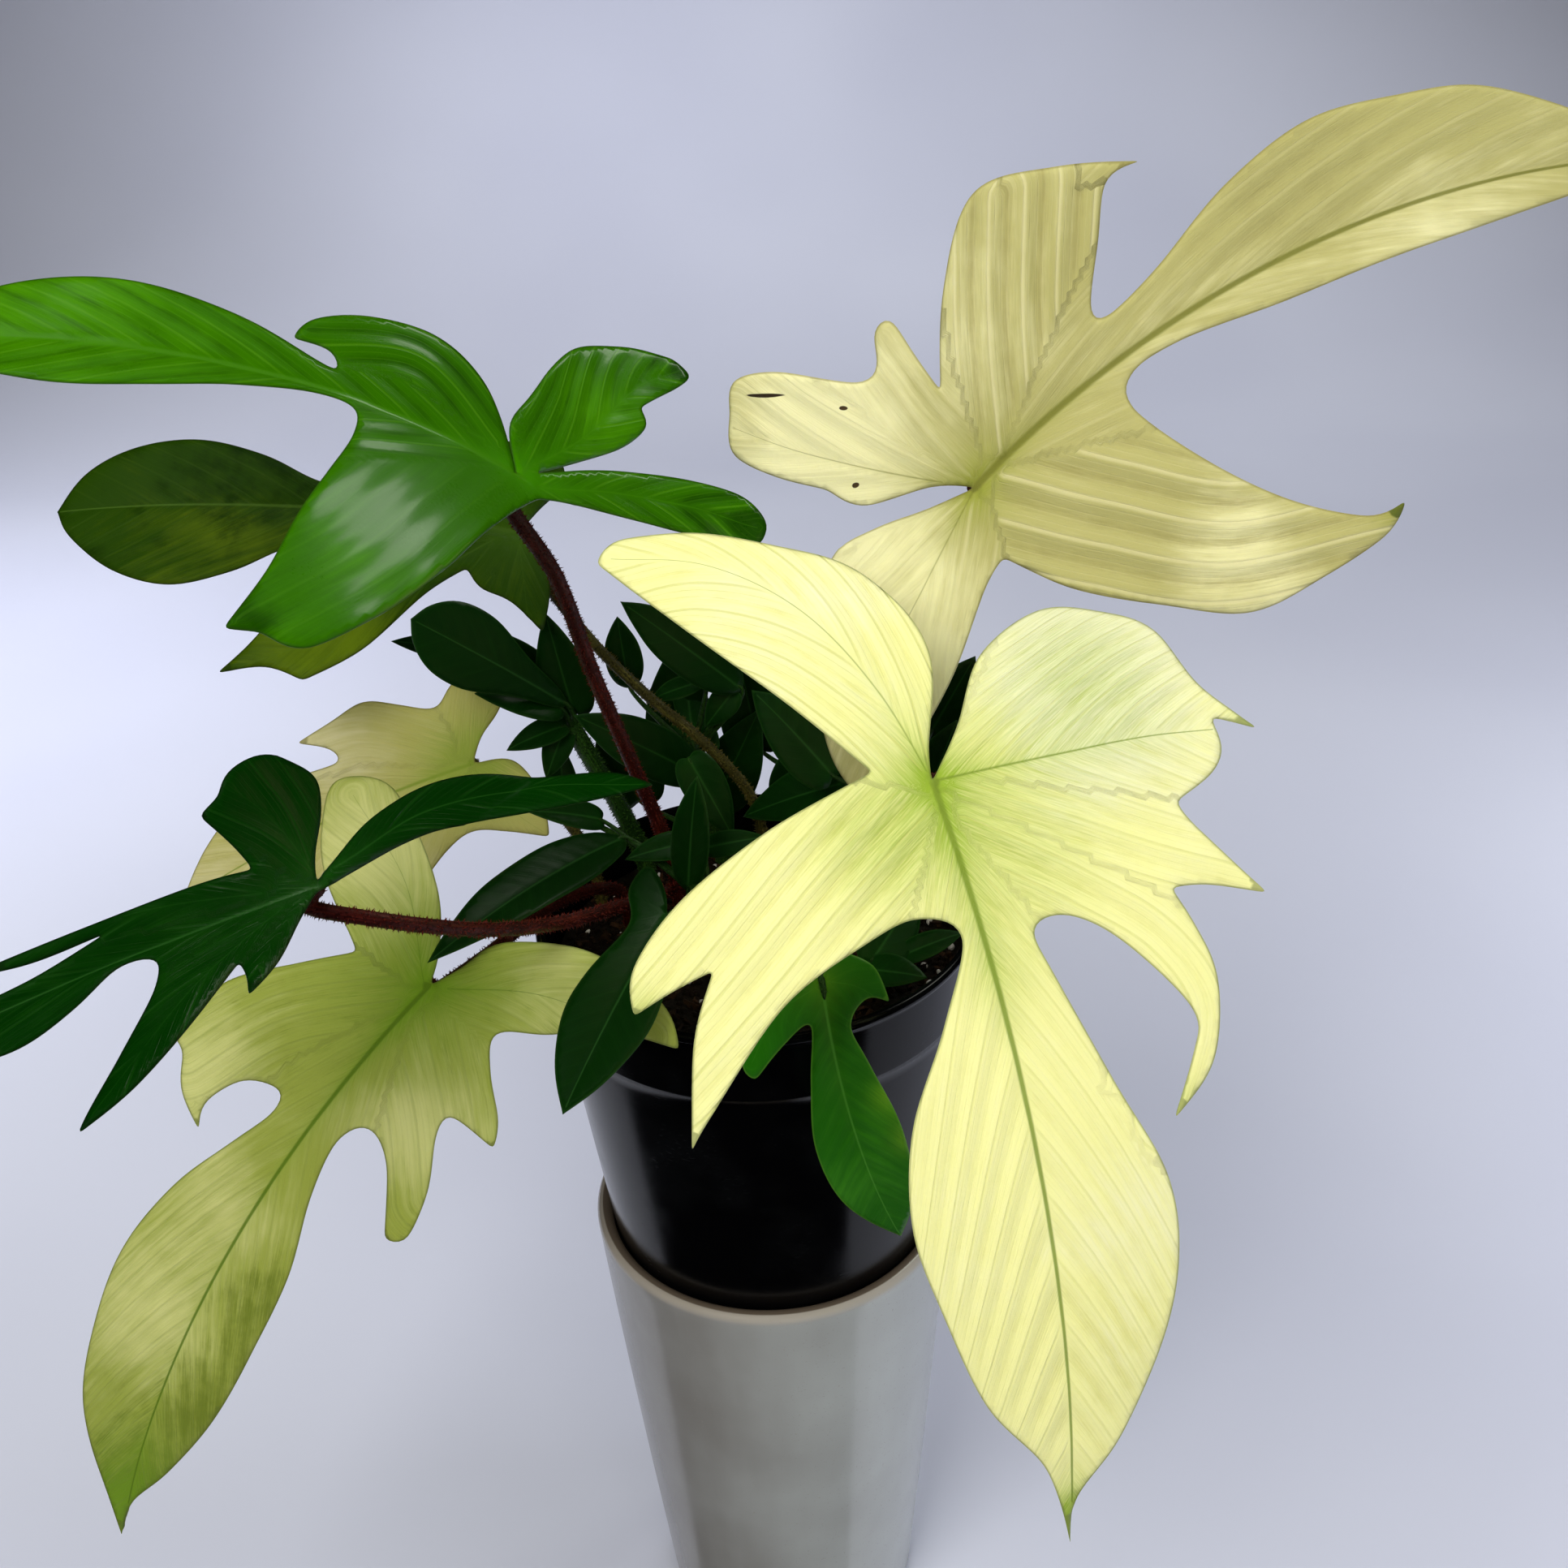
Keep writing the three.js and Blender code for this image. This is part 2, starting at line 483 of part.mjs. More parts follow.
// Leafy side shoots: a short stem from the soil, and its young leaves. A leaf is
// [pattern, joint, reach, face, share of the pattern's width].
const shoots = {
  young_shoot_left: {
    radius: 3,
    stem: [[-38, 42, 0], [-44, 42, 318], [-58, 42, 352]],
    leaves: [
      ['paddle', [-58, 42, 359], [-43, -16, 40], [0.3, -0.8, 0.5], 0.85],
      ['oval', [-57, 44, 356], [-6, 3, 34], [0.1, -0.95, 0.2], 0.9],
      ['strap', [-74, 55, 369], [-42, 4, 8], [0, -0.6, 0.8], 0.9],
      ['oval', [-69, 54, 364], [-31, 8, 6], [0, -0.5, 0.85], 0.8],
      ['oval', [-61, 40, 360], [-25, -8, 10], [0, -0.6, 0.8], 0.9],
      ['oval', [-60, 40, 353], [-19, -4, -6], [0, -0.6, 0.8], 0.9],
      ['oval', [-60, 41, 352], [-7, -7, -15], [0, -0.9, 0.4], 1],
      ['oval', [-62, 50, 358], [-14, 5, 21], [0, -0.8, 0.6], 0.8],
      ['oval', [-64, 50, 318], [0, 2, 24], [0, -0.95, 0.3], 0.8],
    ],
  },
  young_shoot_middle: {
    radius: 3,
    stem: [[-12, 50, 0], [-15, 49, 318], [-21, 48, 342]],
    leaves: [
      ['strap', [-39, 53, 359], [-2, 0, 26], [0, -1, 0.2], 1.8],
      ['strap', [-2, 48, 359], [-37, -4, 35], [0.3, -0.9, 0.4], 1.3],
      ['strap', [-14, 50, 362], [-18, -4, -4], [0, -0.6, 0.8], 1.6],
      ['oval', [-5, 48, 359], [-10, -4, -11], [0, -0.9, 0.5], 1.2],
      ['strap', [-16, 42, 330], [-40, -10, 31], [0.2, -0.8, 0.6], 1.3],
      ['oval', [-20, 30, 344], [13, -10, -24], [0.1, -0.8, 0.6], 0.9],
      ['oval', [-40, 58, 314], [-8, 2, 36], [0, -0.95, 0.3], 1.1],
      ['oval', [-14, 58, 312], [17, 2, 34], [0, -0.95, 0.3], 1],
      ['eared', [-20, 55, 343], [-4, 34, 22], [0, 0.2, 0.95], 1],
      ['oval', [-25, 62, 330], [2, 6, 40], [0, -0.95, 0.3], 1],
    ],
  },
  young_shoot_right: {
    radius: 2.8,
    stem: [[34, 16, 0], [38, 16, 314], [46, 20, 336]],
    leaves: [
      ['oval', [58, 30, 351], [12, -10, 30], [-0.2, -0.9, 0.3], 1],
      ['oval', [57, 20, 337], [7, -5, 25], [-0.2, -0.9, 0.3], 1],
      ['oval', [54, 35, 339], [8, 0, 17], [-0.2, -0.9, 0.3], 1],
      ['oval', [25, 16, 344], [-24, 14, 24], [0.2, -0.8, 0.6], 1],
      ['oval', [32, 22, 338], [-36, 6, -15], [0, -0.6, 0.8], 0.85],
      ['lobed', [56, 14, 334], [32, -6, 4], [0.2, -0.2, 0.95], 0.9],
      ['eared', [48, 30, 336], [30, 30, 10], [0.1, 0.2, 0.95], 0.9],
    ],
  },
  young_shoot_front: {
    radius: 2.8,
    stem: [[-6, -10, 0], [-11, -10, 306], [-18, -10, 322]],
    leaves: [
      ['eared', [-25, -45, 334], [-26, -63, -18], [-0.1, -0.66, 0.75], 0.95],
      ['strap', [-40, 5, 331], [-49, -75, 8], [0, -0.5, 0.85], 0.8],
      ['strap', [-21, -8, 318], [5, 6, 38], [-0.2, -1, 0.1], 1.2],
      ['oval', [-20, 5, 328], [-20, -10, 1], [0, -0.6, 0.8], 0.8],
      ['oval', [-15, 5, 326], [19, 0, 3], [0, -0.7, 0.7], 0.8],
      ['oval', [-48, 10, 335], [-21, -10, 10], [0, -0.6, 0.8], 0.7],
    ],
  },
  young_shoot_side: {
    radius: 2.2,
    stem: [[38, -26, 0], [36, -28, 300]],
    leaves: [
      ['oval', [34, -30, 305], [16, 22, 10], [0.1, -0.7, 0.7], 1],
      ['oval', [33, -32, 303], [17, -8, 2], [0.3, -0.6, 0.8], 1.1],
      ['strap', [40, -28, 303], [22, 2, 8], [0.1, -0.5, 0.9], 1.4],
    ],
  },
  young_shoot_back: {
    radius: 2.8,
    stem: [[22, 50, 0], [25, 54, 325], [27, 57, 343]],
    leaves: [
      ['lobed', [28, 60, 350], [10, 32, 40], [0.1, 0.1, 0.95], 0.9],
      ['oval', [24, 62, 349], [-20, 34, 26], [-0.2, 0.2, 0.9], 0.9],
      ['lobed', [32, 60, 347], [40, 24, 12], [0.2, 0.1, 0.95], 0.9],
      ['oval', [27, 64, 344], [4, 44, -2], [0, 0.3, 0.95], 0.8],
      ['oval', [11, 58, 312], [12, 2, 29], [0, -0.95, 0.3], 1],
      ['oval', [2, 62, 330], [-6, 4, 38], [0, -0.95, 0.3], 1],
    ],
  },
};

// The bright young leaf that comes over the pot's rim at the front
const frontLeaf = {
  finish: 'freshGreen', radius: 1.7,
  joint: [18, -66, 325], reach: [20, -20, -78], face: [0, -0.95, 0.2],
  left: [0.1, -0.8], right: [0.1, -0.8], back: 0.6, bend: 0.9, sweep: -3, length: 85,
  pattern: [
    [0, 0, 1], [-6, -5], [-3, -13], [8, -22], [18, -26], [22, -23, 1], [15, -14], [11, -5],
    [26, -8], [46, -12], [66, -10], [85, 0, 1], [68, 10], [46, 13], [26, 9], [14, 6],
    [8, 12], [11, 18, 1], [0, 15], [-6, 6],
  ],
  stalk: [[10, -32, 0], [12, -40, 310], [16, -54, 321]],
};

const youngLeaf = ([pattern, joint, reach, face, width]) => {
  const length = Math.hypot(...reach);
  return {
    joint, reach, face, length,
    bend: 40 / length, back: 0.4, sweep: 0, left: [0.2, -0.9], right: [0.2, -0.9],
    pattern: youngPatterns[pattern].map(([u, v, sharp]) => [u * length / 100, v * width * length / 100, sharp]),
    perSpan: length > 60 ? 2 : 1, spacing: Math.max(length / 3, 10),
  };
};

// A stem stands in its hole and leaves the soil upright.
function rooted([[x, y], ...path]) {
  const foot = [soilHeight - stemDepth, soilHeight - 4, soilHeight + 6].map((z) => [x, y, z]);
  return [...foot, ...path];
}

// A leaf stalk comes up to the joint from below and ends just clear of the blade.
function stalkGeometry(leaf) {
  const sheet = bladeSheet(leaf);
  const clear = bladeThickness / 2 + gap;
  const end = sheet(0, 0, -clear).toArray();
  const near = sheet(0, 0, -clear - 7).toArray();
  return tube([...rooted(leaf.stalk), near, end], leaf.stalkRadius, 13);
}

// A shoot's stem and leaves are one body: each leaf's stalk starts inside the stem, lower than
// the joint, and ends inside the blade.
function shootGeometry({ radius, stem, leaves }) {
  const path = rooted(stem);
  const along = new THREE.CatmullRomCurve3(path.map((p) => new THREE.Vector3(...p))).getPoints(60);
  const parts = leaves.flatMap((entry) => {
    const leaf = youngLeaf(entry);
    const height = Math.min(stem.at(-1)[2] - 4, Math.max(leaf.joint[2] - 12, soilHeight + 6));
    const start = along.findLast((p) => p.z <= height).toArray();
    const inner = bladeSheet(leaf)(leaf.length * 0.1, 0, 0).toArray();
    return [bladeGeometry(leaf), tube([start, leaf.joint, inner], youngStalkRadius, 3, 5)];
  });
  return fuse([tube(path, radius, 7, 7), ...parts]);
}

function frontLeafGeometry() {
  const leaf = { ...frontLeaf, perSpan: 2, spacing: 12 };
  return fuse([bladeGeometry(leaf), tube([...rooted(leaf.stalk), leaf.joint,
    bladeSheet(leaf)(8, 0, 0).toArray()], leaf.radius, 10)]);
}

// Assembly
const plant = new THREE.Group();

function add(name, geometry, material) {
  const mesh = new THREE.Mesh(geometry, finishes[material]);
  mesh.name = name;
  plant.add(mesh);
}

const stems = [
  ...Object.values(largeLeaves).map((leaf) => ({ foot: leaf.stalk[0], radius: leaf.stalkRadius })),
  ...Object.values(shoots).map((shoot) => ({ foot: shoot.stem[0], radius: shoot.radius })),
  { foot: frontLeaf.stalk[0], radius: frontLeaf.radius },
];

add('outer_pot', coverPotGeometry(), 'glaze');
add('nursery_pot', nurseryPotGeometry(), 'blackPlastic');
add('potting_soil', soilGeometry(stems), 'soil');
for (const [name, leaf] of Object.entries(largeLeaves)) {
  add(`blade_${name}`, bladeGeometry({ ...leaf, perSpan: 2, spacing: 15 }), leaf.finish);
  add(`stalk_${name}`, stalkGeometry(leaf), leaf.stalkFinish);
}
for (const [name, shoot] of Object.entries(shoots)) add(name, shootGeometry(shoot), 'dark');
add('leaf_front_green', frontLeafGeometry(), frontLeaf.finish);

export default plant;
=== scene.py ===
import math

import bpy
import numpy as np
from mathutils import Matrix, Vector
from mathutils.geometry import delaunay_2d_cdt


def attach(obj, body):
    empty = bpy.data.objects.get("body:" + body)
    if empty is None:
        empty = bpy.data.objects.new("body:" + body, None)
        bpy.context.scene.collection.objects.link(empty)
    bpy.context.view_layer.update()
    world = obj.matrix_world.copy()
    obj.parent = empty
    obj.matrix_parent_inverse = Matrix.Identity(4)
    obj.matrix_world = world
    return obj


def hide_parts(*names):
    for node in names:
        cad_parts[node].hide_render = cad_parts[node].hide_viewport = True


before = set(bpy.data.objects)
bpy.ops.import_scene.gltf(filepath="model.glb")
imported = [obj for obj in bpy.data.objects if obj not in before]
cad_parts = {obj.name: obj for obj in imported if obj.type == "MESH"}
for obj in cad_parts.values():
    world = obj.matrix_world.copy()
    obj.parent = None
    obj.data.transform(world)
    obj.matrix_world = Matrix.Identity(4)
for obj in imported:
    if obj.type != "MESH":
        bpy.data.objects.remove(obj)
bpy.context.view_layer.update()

# A potted split-leaved aroid. Lengths are in millimetres here, and become metres when a mesh is made.
scene = bpy.context.scene
mm = 0.001
print("stage: packed frame loaded,", len(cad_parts), "nodes")


# Node helpers
def rgb(text):                     # "#rrggbb" as shown on a screen, made a linear colour
    parts = [int(text[i:i + 2], 16) / 255 for i in (1, 3, 5)]
    return tuple(c / 12.92 if c < 0.04045 else ((c + 0.055) / 1.055) ** 2.4 for c in parts) + (1.0,)


def coloured(look):                # every colour given as text becomes a linear colour
    return {key: rgb(value) if isinstance(value, str) else value for key, value in look.items()}


class Wire:                        # a socket that can stand in a sum
    def __init__(self, nodes, socket):
        self.nodes = nodes
        self.socket = socket

    def math(self, operation, first, second):
        return self.nodes.node("ShaderNodeMath", {"operation": operation}, {0: first, 1: second})

    def __add__(self, other):
        return self.math("ADD", self, other)

    def __sub__(self, other):
        return self.math("SUBTRACT", self, other)

    def __rsub__(self, other):
        return self.math("SUBTRACT", other, self)

    def __mul__(self, other):
        return self.math("MULTIPLY", self, other)

    def __truediv__(self, other):
        return self.math("DIVIDE", self, other)

    __radd__ = __add__
    __rmul__ = __mul__


class Nodes:                       # a node tree, with one way to add any node
    def __init__(self, tree):
        self.tree = tree

    def node(self, kind, settings=None, sockets=None, out=0):
        made = self.tree.nodes.new(kind)
        for key, value in (settings or {}).items():
            setattr(made, key, value)
        for key, value in (sockets or {}).items():
            if isinstance(value, Wire):
                self.tree.links.new(value.socket, made.inputs[key])
            else:
                made.inputs[key].default_value = value
        return Wire(self, made.outputs[out]) if made.outputs else made

    def other(self, wire, out):    # another output of the same node
        return Wire(self, wire.socket.node.outputs[out])

    def attribute(self, name, out="Fac"):
        return self.node("ShaderNodeAttribute", {"attribute_name": name}, out=out)

    def place(self):               # the point on the object, in metres
        return self.node("ShaderNodeTexCoord", out="Object")

    def parts(self, wire):
        x = self.node("ShaderNodeSeparateXYZ", None, {0: wire})
        return x, self.other(x, 1), self.other(x, 2)

    def vector(self, x, y, z):
        return self.node("ShaderNodeCombineXYZ", None, {0: x, 1: y, 2: z})

    def step(self, value, low, high, start=0.0, end=1.0):
        return self.node("ShaderNodeMapRange", {"interpolation_type": "SMOOTHSTEP"},
                         {"Value": value, "From Min": low, "From Max": high, "To Min": start, "To Max": end})

    def noise(self, place, scale, detail=2.0, rough=0.5):
        return self.node("ShaderNodeTexNoise", None,
                         {"Vector": place, "Scale": scale, "Detail": detail, "Roughness": rough})

    def mix(self, first, second, share):
        return self.node("ShaderNodeMix", {"data_type": "RGBA", "clamp_factor": True},
                         {0: share, 6: first, 7: second}, out=2)

    def repeat(self, value, period):       # distance to the nearest whole number of periods
        return value.math("PINGPONG", value, period / 2)


def newPaint(name):
    material = bpy.data.materials.new(name)
    material.use_nodes = True
    material.node_tree.nodes.clear()
    return material, Nodes(material.node_tree)


def surface(nodes, colour, roughness, height, depth, fixed=None):
    bump = nodes.node("ShaderNodeBump", None, {"Height": height, "Distance": depth, "Strength": 1.0})
    shader = nodes.node("ShaderNodeBsdfPrincipled", None,
                        {"Base Color": colour, "Roughness": roughness, "Normal": bump, **(fixed or {})})
    nodes.node("ShaderNodeOutputMaterial", None, {"Surface": shader})


# Mesh helpers
fieldSizes = {"rib": 1, "edge": 1, "fade": 1, "under": 1, "grain": 3, "zone": 3}
flatUnit = 100                     # millimetres of a flat pattern for each unit of its UV map
farAway = 99.0                     # in the fields rib and edge: no rib and no edge near


class Shape:                       # gathers vertices, faces and what each vertex carries
    def __init__(self):
        self.vertices = []
        self.faces = []
        self.paint = []
        self.fields = {name: [] for name in fieldSizes}
        self.flat = []

    def add(self, vertices, faces, fields=None, flat=None, paint=0):
        start = sum(len(part) for part in self.vertices)
        count = len(vertices)
        self.vertices.append(np.asarray(vertices, float))
        self.faces += [tuple(int(i) + start for i in face) for face in faces]
        self.paint += [paint] * len(faces)
        for name, size in fieldSizes.items():
            blank = np.zeros((count, 3)) if size == 3 else np.zeros(count)
            self.fields[name].append(np.asarray((fields or {}).get(name, blank), float))
        self.flat.append(np.zeros((count, 2)) if flat is None else np.asarray(flat, float))

    def piece(self, name, materials):
        vertices = np.concatenate(self.vertices) * mm
        mesh = bpy.data.meshes.new(name)
        mesh.from_pydata(vertices.tolist(), [], self.faces)
        for field, size in fieldSizes.items():
            kind, key = ("FLOAT_VECTOR", "vector") if size == 3 else ("FLOAT", "value")
            layer = mesh.attributes.new(field, kind, "POINT")
            layer.data.foreach_set(key, np.concatenate(self.fields[field]).astype(np.float32).ravel())
        corner = np.zeros(len(mesh.loops), np.int32)
        mesh.loops.foreach_get("vertex_index", corner)
        uv = mesh.uv_layers.new(name="pattern")
        uv.data.foreach_set("uv", (np.concatenate(self.flat)[corner] / flatUnit).astype(np.float32).ravel())
        for material in materials:
            mesh.materials.append(material)
        mesh.polygons.foreach_set("material_index", self.paint)
        mesh.polygons.foreach_set("use_smooth", [True] * len(self.faces))
        mesh.update()
        made = bpy.data.objects.new(name, mesh)
        scene.collection.objects.link(made)
        return made


def unit(vector):
    vector = np.asarray(vector, float)
    return vector / np.linalg.norm(vector)


def lengthOf(line):
    return np.sum(np.linalg.norm(np.diff(line, axis=0), axis=1))


def handOver(made, node):          # the finished piece stands for its CAD node
    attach(made, "root")
    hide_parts(node)
    print("stage: made", made.name, len(made.data.polygons), "faces")


def throughPoints(path, step):     # a centripetal Catmull-Rom curve, in steps of about one length
    path = [np.asarray(p, float) for p in path]
    path = [2 * path[0] - path[1]] + path + [2 * path[-1] - path[-2]]
    line = []
    for p0, p1, p2, p3 in zip(path, path[1:], path[2:], path[3:]):
        t1 = np.linalg.norm(p1 - p0) ** 0.5
        t2 = t1 + np.linalg.norm(p2 - p1) ** 0.5
        t3 = t2 + np.linalg.norm(p3 - p2) ** 0.5
        pieces = max(2, math.ceil(np.linalg.norm(p2 - p1) / step))
        for t in np.linspace(t1, t2, pieces, endpoint=False):
            a1 = (t1 - t) / t1 * p0 + t / t1 * p1
            a2 = (t2 - t) / (t2 - t1) * p1 + (t - t1) / (t2 - t1) * p2
            a3 = (t3 - t) / (t3 - t2) * p2 + (t - t2) / (t3 - t2) * p3
            b1 = (t2 - t) / t2 * a1 + t / t2 * a2
            b2 = (t3 - t) / (t3 - t1) * a2 + (t - t1) / (t3 - t1) * a3
            line.append((t2 - t) / (t2 - t1) * b1 + (t - t1) / (t2 - t1) * b2)
    return np.array(line + [path[-2]])


def tube(shape, line, radii, sides, hairy=0.0):        # a closed stem along a line
    ahead = np.gradient(line, axis=0)
    ahead /= np.linalg.norm(ahead, axis=1)[:, None]
    side = unit(np.cross(ahead[0], (0.3, 1, 0.2)))
    lengths = np.concatenate([[0], np.cumsum(np.linalg.norm(np.diff(line, axis=0), axis=1))])
    angles = 2 * math.pi * np.arange(sides) / sides
    vertices, grain = [], []
    for point, forward, radius, length in zip(line, ahead, radii, lengths):
        side = unit(side - side @ forward * forward)
        across = np.cross(forward, side)
        for angle in angles:
            vertices.append(point + radius * (math.cos(angle) * side + math.sin(angle) * across))
            grain.append((angle * radius, length, 0))
    faces = []
    last = (len(line) - 1) * sides
    for low in range(0, last, sides):
        for k in range(sides):
            j = (k + 1) % sides
            faces.append((low + k, low + j, low + sides + j, low + sides + k))
    faces.append(tuple(reversed(range(sides))))
    faces.append(tuple(range(last, last + sides)))
    far = np.full(len(vertices), farAway)
    bristles = np.full(len(vertices), hairy)
    shape.add(vertices, faces, {"grain": grain, "rib": far, "edge": far, "fade": bristles})


def turned(shape, profile, sides):     # a lathed solid; the profile starts and ends on the axis
    vertices, rings = [], []
    for radius, z in profile:
        rings.append(len(vertices))
        spots = 1 if radius < 1e-6 else sides
        for k in range(spots):
            angle = 2 * math.pi * k / sides
            vertices.append((radius * math.cos(angle), radius * math.sin(angle), z))
    faces = []
    for row in range(len(profile) - 1):
        low, high = rings[row], rings[row + 1]
        for k in range(sides):
            j = (k + 1) % sides
            if profile[row][0] < 1e-6:
                faces.append((low, high + j, high + k))
            elif profile[row + 1][0] < 1e-6:
                faces.append((low + k, low + j, high))
            else:
                faces.append((low + k, low + j, high + j, high + k))
    shape.add(vertices, faces)


def arc(centre, radii, start, end, steps):
    angles = np.linspace(math.radians(start), math.radians(end), steps + 1)
    return [(centre[0] + radii[0] * math.cos(a), centre[1] + radii[1] * math.sin(a)) for a in angles]


# Geometry nodes
growSizes = {"Density": 1.0, "Size": 1.0, "Seed": 1}


def scatterTree(name, form, formSettings, formSizes, material, tilted, lowest):
    # points all over the faces marked "fade", each with a small form, kept with the mesh itself
    tree = bpy.data.node_groups.new(name, "GeometryNodeTree")
    tree.interface.new_socket("Geometry", in_out="INPUT", socket_type="NodeSocketGeometry")
    for label, value in growSizes.items():
        kind = "NodeSocketInt" if isinstance(value, int) else "NodeSocketFloat"
        tree.interface.new_socket(label, in_out="INPUT", socket_type=kind).default_value = value
    tree.interface.new_socket("Geometry", in_out="OUTPUT", socket_type="NodeSocketGeometry")
    nodes = Nodes(tree)
    start = nodes.node("NodeGroupInput")
    density, scale, seed = (nodes.other(start, label) for label in growSizes)
    mark = nodes.node("GeometryNodeInputNamedAttribute", {"data_type": "FLOAT"}, {"Name": "fade"})
    chosen = nodes.node("FunctionNodeCompare", {"data_type": "FLOAT", "operation": "GREATER_THAN"},
                        {0: mark, 1: 0.5})
    points = nodes.node("GeometryNodeDistributePointsOnFaces", None,
                        {"Mesh": start, "Selection": chosen, "Density": density, "Seed": seed})
    small = nodes.node(form, formSettings, formSizes)
    small = nodes.node("GeometryNodeStoreNamedAttribute", {"data_type": "BOOLEAN", "domain": "POINT"},
                       {"Geometry": small, "Name": "grown_" + name, "Value": True})
    tilt = nodes.node("FunctionNodeRandomValue", {"data_type": "FLOAT_VECTOR"},
                      {0: (-tilted,) * 3, 1: (tilted,) * 3, "Seed": seed})
    turn = nodes.node("FunctionNodeRotateRotation", {"rotation_space": "LOCAL"},
                      {0: nodes.other(points, "Rotation"), 1: tilt})
    size = nodes.node("FunctionNodeRandomValue", {"data_type": "FLOAT_VECTOR"},
                      {0: lowest, 1: (1.0, 1.0, 1.0), "Seed": seed})
    spread = nodes.node("ShaderNodeVectorMath", {"operation": "SCALE"}, {0: size, "Scale": scale})
    copies = nodes.node("GeometryNodeInstanceOnPoints", None,
                        {"Points": points, "Instance": small, "Rotation": turn, "Scale": spread})
    both = nodes.node("GeometryNodeJoinGeometry", None, {0: start})
    tree.links.new(copies.socket, both.socket.node.inputs[0])
    solid = nodes.node("GeometryNodeRealizeInstances", None, {0: both})
    grown = nodes.node("GeometryNodeInputNamedAttribute", {"data_type": "BOOLEAN"}, {"Name": "grown_" + name})
    painted = nodes.node("GeometryNodeSetMaterial", None,
                         {"Geometry": solid, "Selection": grown, "Material": material})
    nodes.node("NodeGroupOutput", None, {0: painted})
    return tree


def grow(made, tree, sizes):       # applies the tree and leaves a plain mesh
    modifier = made.modifiers.new("grow", "NODES")
    modifier.node_group = tree
    for item in tree.interface.items_tree:
        if item.item_type == "SOCKET" and item.in_out == "INPUT" and item.name in sizes:
            modifier[item.identifier] = sizes[item.name]
    graph = bpy.context.evaluated_depsgraph_get()
    finished = made.evaluated_get(graph)
    mesh = bpy.data.meshes.new_from_object(finished, preserve_all_data_layers=True, depsgraph=graph)
    made.modifiers.remove(modifier)
    made.data = mesh


# Leaf surfaces
# In a leaf, bend and back are the turn in radians for each 100 mm towards the tip and behind the joint.
# left and right hold the fold at the midrib, and the further turn for each 100 mm away from it.
# reach is the straight way from joint to tip, and sweep is how far the midrib bows to one side.
def bladeSheet(leaf):              # the same curved sheet that the solid is laid on
    reach = np.asarray(leaf["reach"], float)
    chord = unit(reach)
    face = np.asarray(leaf["face"], float)
    normal = unit(face - face @ chord * chord)
    half = leaf["bend"] * np.linalg.norm(reach) / 200
    ahead = math.cos(half) * chord + math.sin(half) * normal
    above = math.cos(half) * normal - math.sin(half) * chord
    side = np.cross(above, ahead)
    joint = np.asarray(leaf["joint"], float)
    (foldLeft, curlLeft), (foldRight, curlRight) = leaf["left"], leaf["right"]

    def place(u, v):
        rate = np.where(u > 0, leaf["bend"], leaf["back"]) / 100
        angle = rate * u
        along = np.sin(angle) / rate
        drop = (1 - np.cos(angle)) / rate
        fold = np.where(v > 0, foldLeft, foldRight)
        curl = np.where(v > 0, curlLeft, curlRight) / 100
        width = np.abs(v)
        out = (np.sin(fold + curl * width) - np.sin(fold)) / curl
        rise = (np.cos(fold) - np.cos(fold + curl * width)) / curl
        share = np.clip(u / leaf["length"], 0, 1)
        sweep = 4 * leaf["sweep"] * share * (1 - share)
        return (joint + np.outer(along + rise * np.sin(angle), ahead)
                + np.outer(rise * np.cos(angle) - drop, above) + np.outer(out * np.sign(v) + sweep, side))

    def sheet(u, v, lift):
        u, v = np.atleast_1d(u).astype(float), np.atleast_1d(v).astype(float)
        slopeU = place(u + 0.05, v) - place(u - 0.05, v)
        slopeV = place(u, v + 0.05) - place(u, v - 0.05)
        normals = np.cross(slopeU, slopeV)
        normals /= np.linalg.norm(normals, axis=1)[:, None]
        return place(u, v) + normals * np.broadcast_to(lift, u.shape)[:, None]

    return sheet


blunting = {"clearOfTip": 6, "share": 0.5, "rounds": 3}     # of side tips and notches, not of the main tip


def smoothOutline(pattern, step):  # a third value of 1 marks a sharp tip or notch
    first = next(i for i, point in enumerate(pattern) if len(point) > 2)
    ring = list(pattern[first:]) + list(pattern[:first]) + [pattern[first]]
    outline, run = [], [ring[0]]
    for point in ring[1:]:
        run.append(point)
        if len(point) < 3:
            continue
        p = np.array([q[:2] for q in run], float)
        for i in range(len(p) - 1):
            before, a, b, after = p[max(i - 1, 0)], p[i], p[i + 1], p[min(i + 2, len(p) - 1)]
            for t in np.linspace(0, 1, max(2, math.ceil(np.linalg.norm(b - a) / step)), endpoint=False):
                pull, push = (b - before) / 2, (after - a) / 2
                outline.append((2 * a - 2 * b + pull + push) * t ** 3
                               + (-3 * a + 3 * b - 2 * pull - push) * t ** 2 + pull * t + a)
        run = [point]
    outline = np.array(outline)
    tip = outline[np.argmax(outline[:, 0])]
    far = (np.linalg.norm(outline - tip, axis=1) - blunting["clearOfTip"]) / blunting["clearOfTip"]
    soft = np.clip(far, 0, 1)[:, None] * blunting["share"]
    for _ in range(blunting["rounds"]):
        middle = (np.roll(outline, 1, axis=0) + np.roll(outline, -1, axis=0)) / 2
        outline = outline + (middle - outline) * soft
    x, y = outline.T
    area = np.sum(x * np.roll(y, -1) - np.roll(x, -1) * y)
    return outline if area > 0 else outline[::-1]


